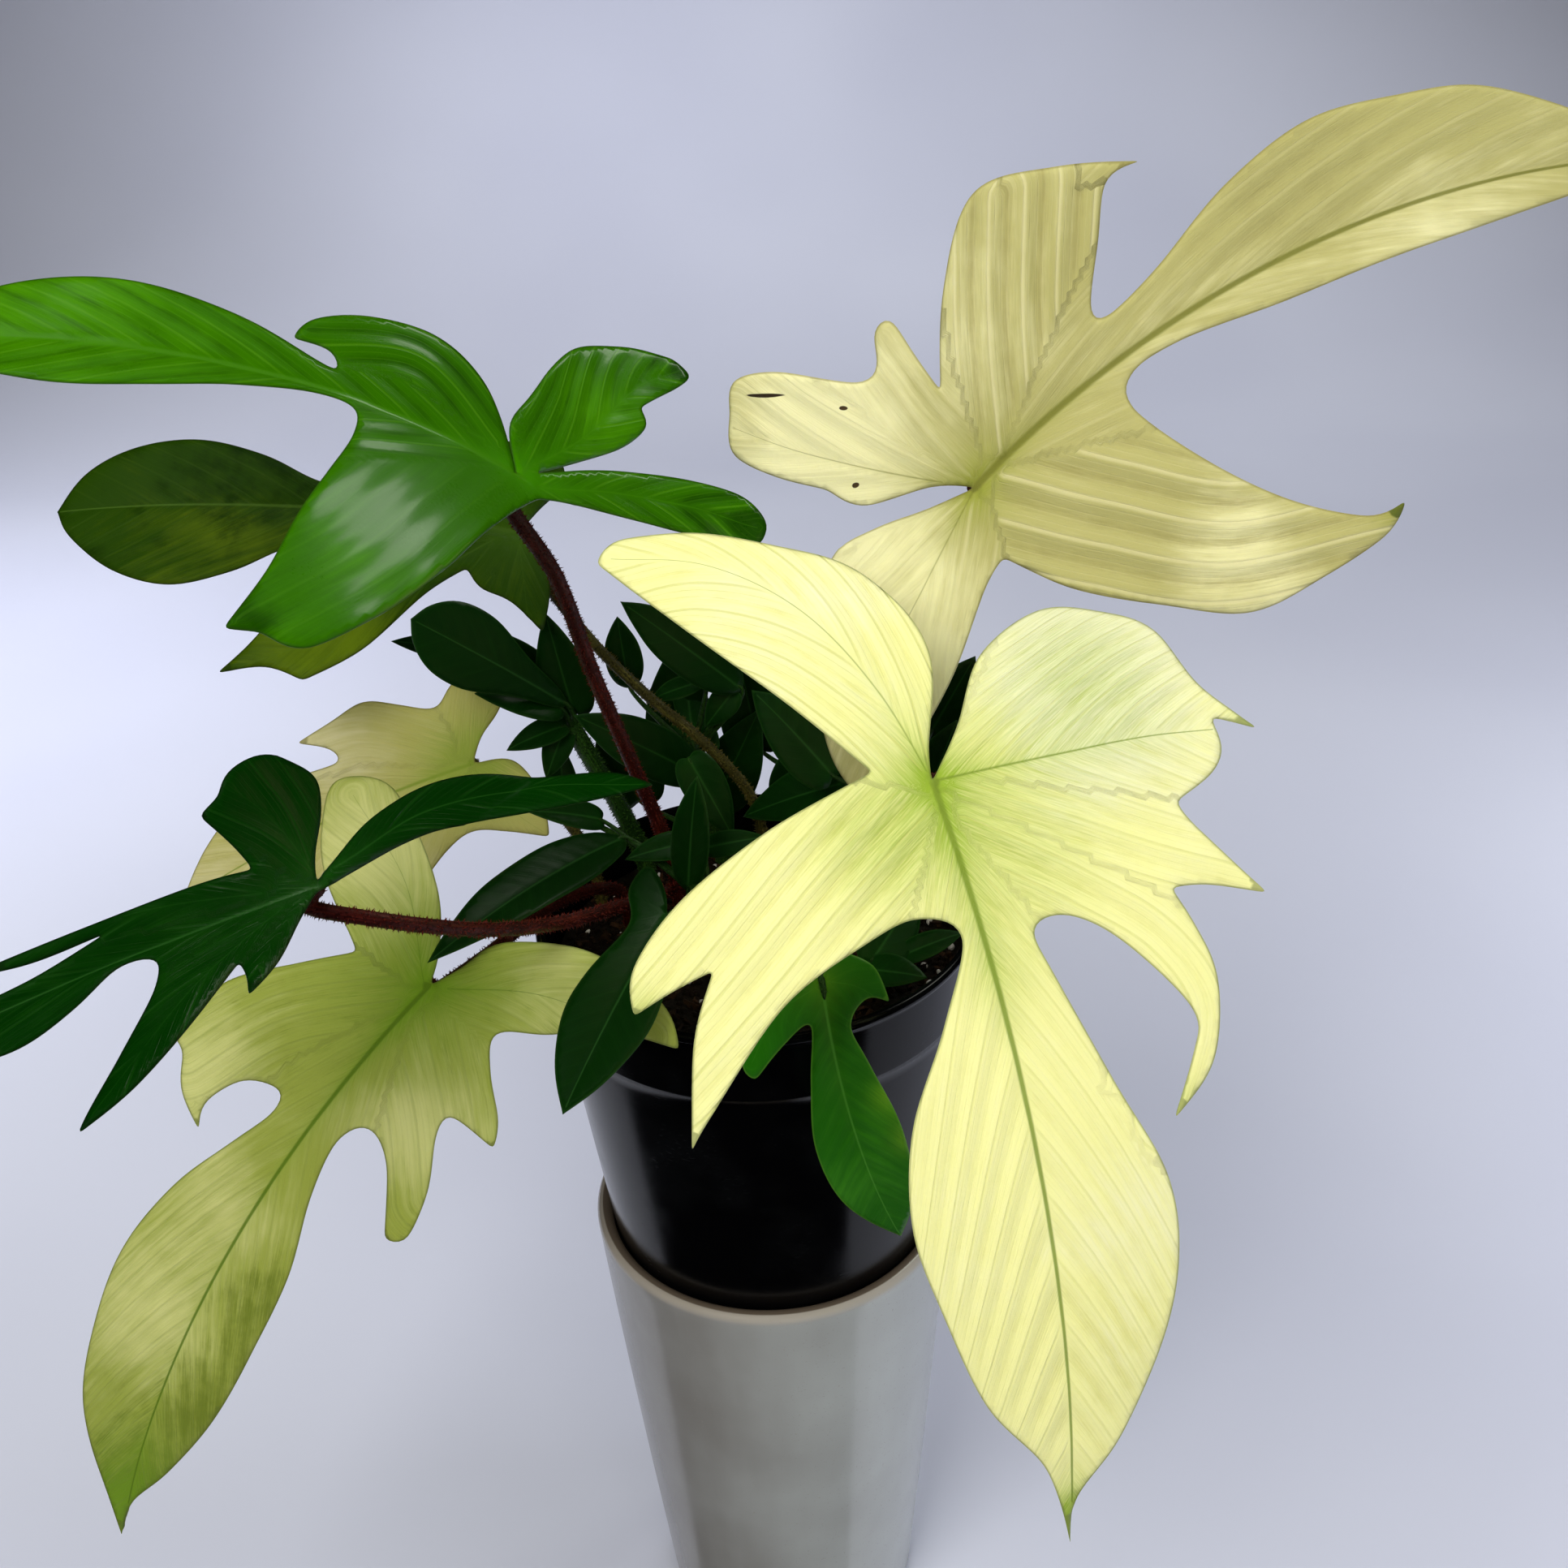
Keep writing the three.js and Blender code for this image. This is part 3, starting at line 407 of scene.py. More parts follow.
def nearestOn(points, line):       # distance, length along the line and side, for each point
    start = line[:-1]
    run = line[1:] - start
    long = np.maximum(np.linalg.norm(run, axis=1), 1e-9)
    offset = points[:, None] - start
    t = np.clip(np.sum(offset * run, axis=2) / long ** 2, 0, 1)
    away = offset - t[..., None] * run
    distance = np.linalg.norm(away, axis=2)
    nearest = np.argmin(distance, axis=1)
    rows = np.arange(len(points))
    lengths = np.concatenate([[0], np.cumsum(long)])[:-1]
    side = run[nearest, 0] * away[rows, nearest, 1] - run[nearest, 1] * away[rows, nearest, 0]
    return distance[rows, nearest], lengths[nearest] + t[rows, nearest] * long[nearest], np.sign(side)


def insideOf(points, outline):
    x, y = points[:, 0][:, None], points[:, 1][:, None]
    x1, y1 = outline.T
    x2, y2 = np.roll(outline, -1, axis=0).T
    rise = np.where(y2 == y1, 1e-12, y2 - y1)
    crosses = ((y1 > y) != (y2 > y)) & (x < (x2 - x1) * (y - y1) / rise + x1)
    return np.sum(crosses, axis=1) % 2 == 1


def clearOf(points, others, least):    # the points that keep this distance from all the others
    if not len(points) or not len(others):
        return points
    return points[np.min(np.linalg.norm(points[:, None] - others, axis=2), axis=1) > least]


# distances in the flat net, as shares of a step
spacing = {"row": 0.866, "netFromEdge": 0.6, "veinFromEdge": 0.5, "veinFromVein": 0.7, "netFromVein": 0.6}


def bladeNet(outline, closed, ribs, step):     # triangles between the outline, the main veins and a honeycomb
    low, high = outline.min(axis=0), outline.max(axis=0)
    rows = []
    for n, y in enumerate(np.arange(low[1], high[1], step * spacing["row"])):
        x = np.arange(low[0] + (n % 2) * step / 2, high[0], step)
        rows.append(np.column_stack([x, np.full(len(x), y)]))
    net = np.vstack(rows)
    net = net[insideOf(net, outline)]
    net = net[nearestOn(net, closed)[0] > spacing["netFromEdge"] * step]
    lines = np.zeros((0, 2))
    for _, line in ribs:
        line = line[insideOf(line, outline)]
        line = line[nearestOn(line, closed)[0] > spacing["veinFromEdge"] * step]
        lines = np.vstack([lines, clearOf(line, lines, spacing["veinFromVein"] * step)])
    net = clearOf(net, lines, spacing["netFromVein"] * step)
    rim = len(outline)
    edges = [(i, (i + 1) % rim) for i in range(rim)]
    found = delaunay_2d_cdt([Vector(p) for p in np.vstack([outline, lines, net])], edges, [], 1, 1e-6)
    points = np.array([tuple(p) for p in found[0]])
    faces = []
    for a, b, c in found[2]:
        turn = np.cross(points[b] - points[a], points[c] - points[a])
        faces.append((a, b, c) if turn > 0 else (a, c, b))
    return points, faces


# Side veins at a steep angle to their guide, in radians, mirror each other across it, and others are counted
# on through it. Past its end a guide counts as further off. Between two guides the veins fade out over
# some mm, and each guide has its own streaks.
guiding = {"steep": 0.2, "pastEnd": 2.2, "fadeOut": 3, "apart": 7.0}


def grainOf(points, guides, curve):
    # each point's place across and along the side veins, its guide, and how clear the veins are there
    angles, strengths, lines = zip(*guides)
    distances, runs, sides = np.array([nearestOn(points, line) for line in lines]).transpose(1, 0, 2)
    ends = np.array([lengthOf(line) for line in lines])[:, None]
    away = distances * np.where(runs > ends - 0.01, guiding["pastEnd"], 1)
    which = np.argmin(away, axis=0)
    rows = np.arange(len(points))
    distance, along, side = distances[which, rows], runs[which, rows], sides[which, rows]
    angle = np.array(angles)[which]
    out = distance * (1 + distance / curve * np.sin(angle))     # side veins bend towards the tip
    mirror = np.where(angle > guiding["steep"], 1, side)
    across = along * np.sin(angle) - mirror * out * np.cos(angle)
    forward = along * np.cos(angle) + distance * np.sin(angle)
    order = np.sort(away, axis=0)
    clear = np.ones(len(points))
    if len(guides) > 1:
        clear = np.clip((order[1] - order[0]) / guiding["fadeOut"], 0, 1)
    return across, forward, which, clear * np.array(strengths)[which]


def bladeMesh(shape, leaf, form, paint=0):
    veins = [(math.radians(angle), strength, width, throughPoints(line, form["step"]))
             for angle, strength, width, line in leaf["veins"]]
    ribs = [(width, line) for _, _, width, line in veins if width]      # raised veins
    guides = [(angle, strength, line) for angle, strength, _, line in veins if strength]
    outline = smoothOutline(leaf["pattern"], form["step"])
    closed = np.vstack([outline, outline[:1]])
    points, faces = bladeNet(outline, closed, ribs, form["step"])
    across, forward, which, fade = grainOf(points, guides, form["curve"])
    edge = nearestOn(points, closed)[0]
    u, v = points.T
    rib = np.full(len(points), farAway)
    zone = np.zeros((len(points), 3))      # how pale, deep and green
    for weight, line in ribs:              # a rib narrows to its end, and greens the blade beside it
        off, run, _ = nearestOn(points, line)
        share = run / lengthOf(line)
        width = np.maximum(form["rib"] * (0.4 + 0.6 * weight) * (1 - 0.75 * share), 0.3)
        rib = np.minimum(rib, off / width + (1 - weight))
        fade *= np.clip(off / 2, 0, 1)
        reach = np.exp(-off / form["ribGreen"]) * np.clip(1.1 - share, 0, 1)
        zone[:, 2] += 0.5 * form["green"] * weight * reach
    for at, reach, *tones in leaf["dabs"]:
        zone += np.outer(np.exp(-((u - at[0]) ** 2 + (v - at[1]) ** 2) / reach ** 2), tones)
    zone[:, 2] += form["green"] * np.exp(-np.hypot(u, v) / form["greenReach"])
    # relief: pleats between the side veins, a wavy edge, and a midrib sunken above and raised below
    inner = np.clip(edge / form["calmEdge"], 0, 1)
    pleats = form["relief"] * np.cos(2 * math.pi * across / form["pleat"]) * inner * fade
    waves = np.sin(u / 7.3 + 1.7 * np.sin(v / 11)) + np.sin(v / 6.1 + 1.3 * np.sin(u / 13) + 2)
    clearOfJoint = np.clip(np.hypot(u, v) / 30 - 0.3, 0, 1)
    ripple = form["ripple"] * waves * np.exp(-edge / form["rippleReach"]) * clearOfJoint
    half = form["edgeHalf"] + (form["half"] - form["edgeHalf"]) * np.clip(edge / 2, 0, 1)
    sheet = bladeSheet(leaf)
    top = sheet(u, v, pleats + ripple + half - form["groove"] * np.exp(-rib ** 2))
    bottom = sheet(u, v, pleats + ripple - half - form["ridge"] * np.exp(-rib ** 2 / 1.2))
    fields = {"rib": rib, "edge": edge, "fade": fade * form["fade"], "zone": zone,
              "grain": np.column_stack([across, forward, which * guiding["apart"]])}
    both = {name: np.concatenate([value, value]) for name, value in fields.items()}
    count, rim = len(points), len(outline)
    both["under"] = np.repeat([0.0, 1.0], count)
    faces += [(count + a, count + c, count + b) for a, b, c in faces]
    faces += [(count + i, count + (i + 1) % rim, (i + 1) % rim, i) for i in range(rim)]
    shape.add(np.vstack([top, bottom]), faces, both, np.vstack([points, points]), paint)
    return sheet


def spotOf(nodes, at, angle, long, wide, patch):   # an uneven oval mark in the flat pattern
    centre = (at[0] / flatUnit, at[1] / flatUnit)
    flat = nodes.node("ShaderNodeVectorRotate", {"rotation_type": "Z_AXIS"},
                      {"Vector": nodes.node("ShaderNodeUVMap", {"uv_map": "pattern"}),
                       "Center": (*centre, 0), "Angle": math.radians(angle)})
    x, y, _ = nodes.parts(flat)
    x = (x - centre[0]) / (long / flatUnit)
    y = (y - centre[1]) / (wide / flatUnit)
    return nodes.step(x * x + y * y + (patch - 0.5) * 0.9, 0.7, 1.1, 1.0, 0.0)


glowReach = (0.0022, 0.0018, 0.0007)       # of red, green and blue light in a blade, in metres


def leafPaint(name, look):
    material, nodes = newPaint(name)
    across, forward, guide = nodes.parts(nodes.attribute("grain", "Vector"))
    pale, deep, green = nodes.parts(nodes.attribute("zone", "Vector"))
    rib, edge, fade, under = (nodes.attribute(field) for field in ("rib", "edge", "fade", "under"))
    place = nodes.place()
    cloud = nodes.noise(place, 38.0, 3.0, 0.55)
    patch = nodes.noise(place, 120.0, 4.0, 0.65)
    speck = nodes.noise(place, 900.0, 2.0)
    streak = nodes.noise(nodes.vector(across * 0.55, forward * 0.045, guide), 1.0, 3.0, 0.6)
    thread = nodes.noise(nodes.vector(across * 2.6, forward * 0.11, guide), 1.0, 2.0, 0.6)
    pleat = nodes.repeat(across, look["pleat"]) / (look["pleat"] / 2)
    vein = nodes.step(nodes.repeat(across, look["pleat"]), 0.0, look["veinWidth"], 1.0, 0.0) * fade
    fine = nodes.step(nodes.repeat(across + 0.3, look["pleat"] / 5), 0.0, 0.22, 1.0, 0.0) * fade
    paleShare = pale + (cloud - 0.5) * look["cloud"] + (streak - 0.5) * look["streak"]
    colour = nodes.mix(look["base"], look["pale"], nodes.step(paleShare, 0.0, 1.0))
    deepShare = deep + (patch - 0.5) * look["mottle"] + (thread - 0.5) * look["thread"]
    # painted shade: the deep share grows in the pleat valleys between the side veins, a painted shade of the
    # creases
    deepShare = deepShare + (pleat - 0.5) * fade * look["pleatShade"]
    colour = nodes.mix(colour, look["deep"], nodes.step(deepShare, 0.0, 1.0))
    greenShare = green + (streak - 0.5) * 0.4 * green + (thread - 0.5) * 1.1 * green
    colour = nodes.mix(colour, look["green"], nodes.step(greenShare, 0.0, 1.1))
    colour = nodes.mix(colour, look["vein"], vein * look["veinShare"] + fine * look["fineShare"])
    colour = nodes.mix(colour, look["rib"], nodes.step(rib, 0.35, 1.15, 1.0, 0.0) * look["ribShare"])
    colour = nodes.mix(colour, look["margin"], nodes.step(edge, 0.12, 0.62, 1.0, 0.0) * look["marginShare"])
    for at, angle, long, wide, tone in look["marks"]:
        colour = nodes.mix(colour, rgb(tone), spotOf(nodes, at, angle, long, wide, patch) * (1 - under))
    colour = nodes.mix(colour, look["under"], under * look["underShare"])
    height = vein * (-0.55) + fine * (-0.16) + (thread - 0.5) * 0.35 + (speck - 0.5) * 0.25
    low, high = look["rough"] - 0.05, look["rough"] + 0.07
    rough = nodes.step(cloud + (speck - 0.5) * 0.3, 0.2, 0.8, low, high) + under * 0.12
    surface(nodes, colour, rough, height, look["bump"] * mm, {
        "Specular IOR Level": look["gloss"], "Coat Weight": look["coat"], "Coat Roughness": look["coatRough"],
        "Subsurface Weight": look["glow"], "Subsurface Radius": glowReach, "Subsurface Scale": 1.0})
    return material


# Large leaves
bladeForm = {"step": 1.6, "pleat": 8.0, "relief": 0.35, "rib": 1.5, "groove": 0.28, "ridge": 0.75,
             "ripple": 0.35, "green": 0.9, "greenReach": 14.0, "ribGreen": 2.4, "curve": 38.0,
             "edgeHalf": 0.14, "half": 0.4, "calmEdge": 7, "rippleReach": 6, "fade": 1.0}
plainLook = {"veinWidth": 0.55, "veinShare": 0.35, "fineShare": 0.14, "cloud": 1.0, "streak": 0.8,
             "mottle": 0.6, "thread": 0.8, "pleatShade": 0.5, "ribShare": 0.85, "marginShare": 0.6,
             "underShare": 0.35, "rough": 0.42, "gloss": 0.45, "coat": 0.0, "coatRough": 0.3, "glow": 0.12,
             "bump": 0.35, "marks": []}

largeLooks = {
    "front_cream": {
        "base": "#fbf9aa", "pale": "#fefcd2", "deep": "#dfdc84", "green": "#98b438", "vein": "#c8cb6c",
        "rib": "#7c9230", "margin": "#748044", "under": "#e2e0a4", "rough": 0.45, "pleatShade": 0.8,
        "veinShare": 0.45},
    "right_cream": {
        "base": "#beb976", "pale": "#fbf6bc", "deep": "#a29a5e", "green": "#a0a544", "vein": "#ece5ae",
        "rib": "#7e7f33", "margin": "#857d48", "under": "#cfc793", "rough": 0.46, "pleatShade": 0.9,
        "veinWidth": 0.95, "veinShare": 0.5,
        "marks": [((-40, 46), 24, 5.5, 0.55, "#33291d"), ((-22, 34), 30, 1.2, 0.6, "#4a3b25"),
                  ((-29, 14), 0, 1.2, 0.8, "#4a3b25"), ((95, -69), 0, 3.0, 3.0, "#5f6a2c")]},
    "left_green": {
        "base": "#2d6500", "pale": "#478a01", "deep": "#174000", "green": "#397f00", "vein": "#5a9518",
        "rib": "#3f7a0a", "margin": "#23400c", "under": "#4f7f2e", "rough": 0.3, "coat": 0.4,
        "coatRough": 0.13, "veinShare": 0.35, "gloss": 0.18, "glow": 0.03, "pleatShade": 1.0, "bump": 0.1,
        "ribShare": 0.6},
    "back_olive": {
        "base": "#203c02", "pale": "#566b08", "deep": "#102800", "green": "#37580a", "vein": "#45601b",
        "rib": "#44611c", "margin": "#1a2709", "under": "#4c6328", "coat": 0.1, "ribShare": 0.6,
        "mottle": 2.2, "gloss": 0.35, "glow": 0.05},
    "left_dark": {
        "base": "#032a01", "pale": "#144208", "deep": "#011500", "green": "#0f3f06", "vein": "#1d4c12",
        "rib": "#245519", "margin": "#081806", "under": "#2f5226", "rough": 0.32, "coat": 0.12,
        "coatRough": 0.2, "gloss": 0.3, "glow": 0.02, "ribShare": 0.55},
    "low_lime": {
        "base": "#929d42", "pale": "#c6c880", "deep": "#697726", "green": "#688a1a", "vein": "#74833a",
        "rib": "#4f6c10", "margin": "#5c692c", "under": "#b5b885", "rough": 0.44, "mottle": 1.2,
        "thread": 1.2, "streak": 0.9, "pleatShade": 0.8, "veinShare": 0.4},
    "rear_khaki": {
        "base": "#aaa65e", "pale": "#cdc797", "deep": "#928d4a", "green": "#84933a", "vein": "#b1aa5e",
        "rib": "#74882a", "margin": "#6f6a36", "under": "#aaa466", "rough": 0.46, "thread": 1.1},
}
stalkTones = {
    "maroon": {"base": "#2c0806", "pale": "#521a10", "deep": "#150302", "hair": "#44130c"},
    "olive": {"base": "#2f2c10", "pale": "#55501f", "deep": "#1a1806", "hair": "#43361a"},
    "young": {"base": "#16300c", "pale": "#2f5418", "deep": "#0a1805", "hair": "#2a4016"},
}

# The flat patterns run from the joint at (0, 0) towards the tip along the first axis.
# Each vein: angle of its side veins in degrees, strength of the grain along it, width as a rib, and its line.
# Each dab: centre, reach, and what it adds to the pale, deep and green shares. The pale and deep shares are
# the leaf's own tone, and where noted a dab also paints a highlight or shade.
largeLeaves = {
    "front_cream": {
        "joint": (46, -90, 400), "reach": (29, -75, -183), "face": (0.05, -0.8, 0.6),
        "left": (0.12, -0.35), "right": (0.12, -0.5), "back": 0.3, "bend": 0.35, "sweep": 6, "length": 206,
        "stalkRadius": 2.3,
        "stalk": [(6, 10, 0), (8, 7, 322), (15, -6, 341), (27, -34, 356), (39, -64, 380)],
        "pattern": [
            (0, 0, 1), (-8, 1), (-33, 7), (-56, -3), (-69, -23), (-79, -45), (-83, -64),
            (-78, -70, 1), (-50, -50), (-24, -29), (-5, -14, 1), (4, -42), (16, -68), (30, -84),
            (41, -87, 1), (37, -76), (34, -65, 1), (50, -74), (76, -81, 1), (69, -75), (46, -51),
            (35, -27), (32, -14), (38, -5), (58, -15), (80, -28), (104, -33), (128, -29),
            (155, -21), (178, -7), (206, 0, 1), (191, 1), (174, 12), (150, 23), (126, 30),
            (104, 30), (80, 22), (52, 14), (40, 12), (38, 20), (46, 31), (66, 44), (76, 42),
            (91, 34, 1), (80, 46), (60, 52), (46, 50), (37, 47, 1), (38, 56), (43, 70, 1),
            (23, 57), (17, 55, 1), (12, 66), (6, 71), (-2, 71, 1), (3, 82, 1), (-10, 71),
            (-27, 63), (-34, 51), (-37, 36), (-29, 19), (-12, 9),
        ],
        "form": {"pleat": 8.5, "relief": 0.8, "green": 0.66, "greenReach": 20.0, "ribGreen": 3.6,
                 "rib": 1.15},
        "veins": [
            (30, 0.6, 1, [(0, 0), (100, 0), (204, 0)]),
            (16, 1, 0.45, [(0, 0), (-25, -8), (-50, -22), (-68, -42), (-78, -66)]),
            (4, 0.9, 0, [(6, -2), (22, -30), (40, -58), (56, -84)]),
            (4, 0.7, 0, [(10, 4), (30, 26), (48, 42), (66, 47), (90, 34)]),
            (4, 0.6, 0, [(0, 4), (16, 26), (30, 46), (43, 69)]),
            (38, 0.7, 0.6, [(0, 0), (0, 30), (0, 55), (2, 78)]),
        ],
        # the deep dab at (148, 13) is painted shade of the fold on the right half of the terminal lobe
        "dabs": [
            ((198, 0), 13, 0, 0, 1.1), ((0, 58), 24, 0.5, 0.1, 0.14), ((-20, 42), 26, 1.0, 0, 0.42),
            ((148, 13), 26, 0, 0.3, 0.05), ((-50, -25), 26, 0.5, 0, 0), ((120, 16), 34, 0.3, 0, 0),
            ((41, -84), 8, 0, 0, 0.5), ((88, 36), 8, 0, 0, 0.5), ((3, 80), 6, 0, 0, 0.5),
            ((25, 15), 22, 0, 0.2, 0.3), ((14, -20), 18, 0, 0.2, 0.35), ((50, 0), 14, 0, 0, 0.25),
        ],
    },
    "right_cream": {
        "joint": (64, -20, 449), "reach": (176, 15, 73), "face": (0.1, -0.93, 0.35),
        "left": (0.2, -0.25), "right": (0.2, -0.35), "back": 0.3, "bend": 0.3, "sweep": 20, "length": 195,
        "stalkRadius": 2.3,
        "stalk": [(15, 36, 0), (19, 36, 345), (33, 30, 385), (54, 14, 418), (66, 0, 437)],
        "pattern": [
            (0, 0, 1), (-10, 5), (-30, 8), (-37, 16, 1), (-48, 25), (-57, 36), (-52, 46, 1),
            (-47, 53), (-34, 50), (-15, 38), (-9, 40), (-6, 48), (-1, 49), (1, 38), (3, 26, 1),
            (14, 44), (30, 57), (50, 49), (69, 38, 1), (60, 39), (53, 28), (45, 15), (48, 11),
            (64, 14), (86, 23), (108, 28), (130, 26), (150, 23), (172, 13), (195, 0, 1), (177, -5),
            (156, -9), (126, -11), (90, -10), (61, -5), (48, -5), (45, -12), (57, -35), (72, -55),
            (88, -68), (97, -68, 1), (90, -74), (72, -76), (52, -74), (32, -58), (14, -40),
            (0, -20, 1), (-7, -25), (-25, -44), (-49, -63), (-65, -75, 1), (-70, -58), (-66, -37),
            (-57, -15), (-44, -1), (-30, 1), (-15, 0),
        ],
        "form": {"pleat": 9.5, "relief": 0.9, "groove": 0.4},
        "veins": [
            (15, 0.3, 1, [(0, 0), (100, 0), (194, 0)]),
            (20, 0.5, 0.4, [(0, 0), (-20, 14), (-38, 28), (-53, 42)]),
            (8, 0.4, 0, [(0, 4), (-3, 25), (-4, 46)]),
            (3, 1, 0, [(10, 2), (22, 28), (36, 52)]),
            (3, 1, 0, [(8, -3), (30, -30), (55, -55), (94, -70)]),
            (20, 0.6, 0.35, [(0, 0), (-22, -18), (-45, -38), (-64, -68)]),
        ],
        # the deep dab at (100, 14) is painted shade on the upper half of the terminal lobe
        "dabs": [
            ((-35, 26), 30, 1.1, -0.3, 0), ((-38, -36), 32, 1.0, -0.3, 0), ((75, -12), 26, 0.5, -0.2, 0),
            ((130, -14), 24, 0.7, -0.4, 0), ((100, 14), 40, -0.3, 0.3, 0), ((26, 36), 24, 0.3, 0, 0),
            ((55, -62), 22, 0.6, 0, 0), ((95, -70), 8, 0, 0.5, 0.6),
        ],
    },
    "left_green": {
        "joint": (-58, 0, 450), "reach": (-144, -40, 55), "face": (0.1, -0.45, 0.88),
        "left": (0.15, -0.3), "right": (0.3, -0.2), "back": -0.9, "bend": 0.5, "sweep": -2, "length": 165,
        "stalkRadius": 2.5,
        "stalk": [(-26, 24, 0), (-30, 22, 322), (-37, 20, 348), (-46, 14, 384), (-53, 8, 418)],
        "pattern": [
            (2, 0, 1), (7, -13), (2, -26), (-4, -40), (-14, -52), (-32, -59), (-48, -59, 1),
            (-54, -54), (-50, -49), (-42, -43), (-36, -38, 1), (-39, -33), (-32, -24), (-18, -14),
            (-4, -4, 1), (-20, -12), (-37, -17), (-53, -18), (-70, -14), (-77, -5), (-74, 2, 1),
            (-60, 0), (-40, -1), (-18, 0), (-5, 5, 1), (2, 13), (15, 31), (27, 50), (44, 72),
            (60, 86), (70, 84, 1), (78, 85, 1), (70, 67), (64, 48), (57, 30), (51, 14), (51, 4),
            (62, 3), (80, 7), (100, 13), (125, 15), (148, 9), (165, -2, 1), (150, -10), (130, -17),
            (105, -19), (82, -15), (62, -8), (56, -7), (58, -12), (68, -12, 1), (64, -19),
            (50, -26), (32, -29), (18, -23), (10, -14),
        ],
        "form": {"pleat": 8.5, "relief": 0.28},
        "veins": [
            (30, 0.8, 1, [(0, 0), (80, 0), (164, -2)]),
            (32, 0.9, 0.45, [(0, -3), (-18, -22), (-36, -46), (-52, -56)]),
            (28, 0.9, 0.45, [(-5, 0), (-30, -8), (-55, -9), (-74, -4)]),
            (4, 0.3, 0, [(5, 2), (25, 28), (48, 58), (74, 82)]),
            (4, 1, 0, [(10, -6), (35, -22), (64, -16)]),
        ],
        # the pale dab at (-22, -30) is partly a painted highlight on the basal lobe
        "dabs": [
            ((120, 0), 45, 0.5, 0, 0), ((50, 58), 16, 0.3, 0, 0), ((20, -20), 20, 0, 0.2, 0),
            ((-52, -56), 8, 0, 1.1, 0), ((-74, -4), 8, 0, 1.1, 0), ((-22, -30), 18, 0.5, -0.2, 0),
            ((-60, -6), 12, 0, 0.5, 0), ((74, 82), 9, 0, 0.8, 0),
        ],
    },
    "back_olive": {
        "joint": (-70, 60, 412), "reach": (-138, -10, 16), "face": (0, -0.75, 0.66),
        "left": (0.1, -0.2), "right": (0.1, -0.2), "back": -0.5, "bend": 0.3, "sweep": -3, "length": 141,
        "stalkRadius": 1.9,
        "stalk": [(2, 32, 0), (0, 32, 326), (-16, 34, 349), (-31, 40, 361), (-48, 48, 377), (-64, 57, 397)],
        "pattern": [
            (0, 0, 1), (-6, -8), (-14, -18), (-10, -28), (2, -30), (12, -24), (24, -13), (40, -8),
            (60, -8), (78, -16), (98, -21), (118, -19), (133, -12), (141, -1, 1), (136, 8),
            (122, 20), (104, 26), (86, 22), (70, 14), (64, 19), (76, 41), (88, 54, 1), (74, 52),
            (63, 56, 1), (46, 45), (28, 25), (16, 15, 1), (12, 21), (2, 24), (-8, 33, 1),
            (-10, 18), (-6, 6),
        ],
        "form": {"pleat": 9.0, "relief": 0.2, "ripple": 0.2},
        "veins": [
            (35, 0.4, 0.8, [(0, 0), (70, 0), (140, -1)]),
            (22, 0.5, 0.4, [(8, 4), (35, 25), (62, 44), (84, 53)]),
            (20, 0.5, 0.3, [(0, 0), (2, -18), (-6, -25)]),
            (20, 0.5, 0.3, [(0, 4), (-3, 28)]),
        ],
        "dabs": [
            ((60, 42), 28, 0.9, -0.3, 0), ((80, -20), 30, 0, 0.5, 0), ((100, 12), 24, 0.4, 0, 0),
        ],
    },
    "left_dark": {
        "joint": (-104, -100, 384), "reach": (-75, -68, 4), "face": (0, -0.35, 0.9),
        "left": (0.1, -0.2), "right": (0.7, -0.2), "back": -1, "bend": 0.4, "sweep": 3, "length": 104,
        "stalkRadius": 2.1,
        "stalk": [(-20, 8, 0), (-22, 4, 311), (-38, -25, 326), (-54, -56, 341), (-70, -80, 356),
                  (-94, -98, 373)],
        "pattern": [
            (0, -1, 1), (-2, -8), (-8, -18), (-10, -26), (-5, -31), (4, -35), (13, -33),
            (17, -28, 1), (23, -25, 1), (18, -16), (15, -9, 1), (28, -10), (56, -10), (82, -10, 1),
            (68, -7), (52, -7, 1), (69, -4), (88, -3), (103, 0, 1), (94, 8), (80, 12), (65, 8),
            (52, 2), (45, 4), (49, 12), (62, 24), (74, 35), (79, 40, 1), (66, 36), (48, 26),
            (30, 14, 1), (31, 19), (34, 25, 1), (23, 19), (11, 9), (2, 2, 1), (-10, -1), (-26, -3),
            (-40, -1), (-57, 8), (-85, 29, 1), (-80, 16), (-68, 3), (-54, -9), (-38, -14),
            (-20, -12), (-6, -5),
        ],
        "form": {"pleat": 7.0, "relief": 0.4, "rib": 1.1},
        "veins": [
            (15, 0.8, 0.7, [(0, 0), (50, 0), (102, 0)]),
            (15, 0.8, 0.3, [(15, -3), (45, -9), (78, -10)]),
            (15, 0.8, 0.3, [(12, 3), (40, 15), (76, 38)]),
            (15, 0.8, 0.3, [(0, -3), (6, -18), (14, -30)]),
            (20, 0.9, 0.5, [(-3, -3), (-35, -8), (-62, 2), (-83, 26)]),
            (15, 0.8, 0, [(4, 2), (22, 14), (32, 23)]),
        ],
        "dabs": [
            ((40, 10), 30, 0.3, 0, 0),
        ],
    },
    "low_lime": {
        "joint": (-91, -62, 326), "reach": (-100, -60, -145), "face": (-0.1, -0.8, 0.6),
        "left": (0.12, -0.3), "right": (0.12, -0.3), "back": 0.3, "bend": 0.3, "sweep": -9, "length": 190,
        "stalkRadius": 2.1,
        "stalk": [(-42, 12, 0), (-45, 8, 310), (-62, -18, 322), (-78, -42, 322)],
        "pattern": [
            (0, 0, 1), (-9, -3), (-22, -12), (-34, -28), (-41, -44), (-34, -57), (-22, -53),
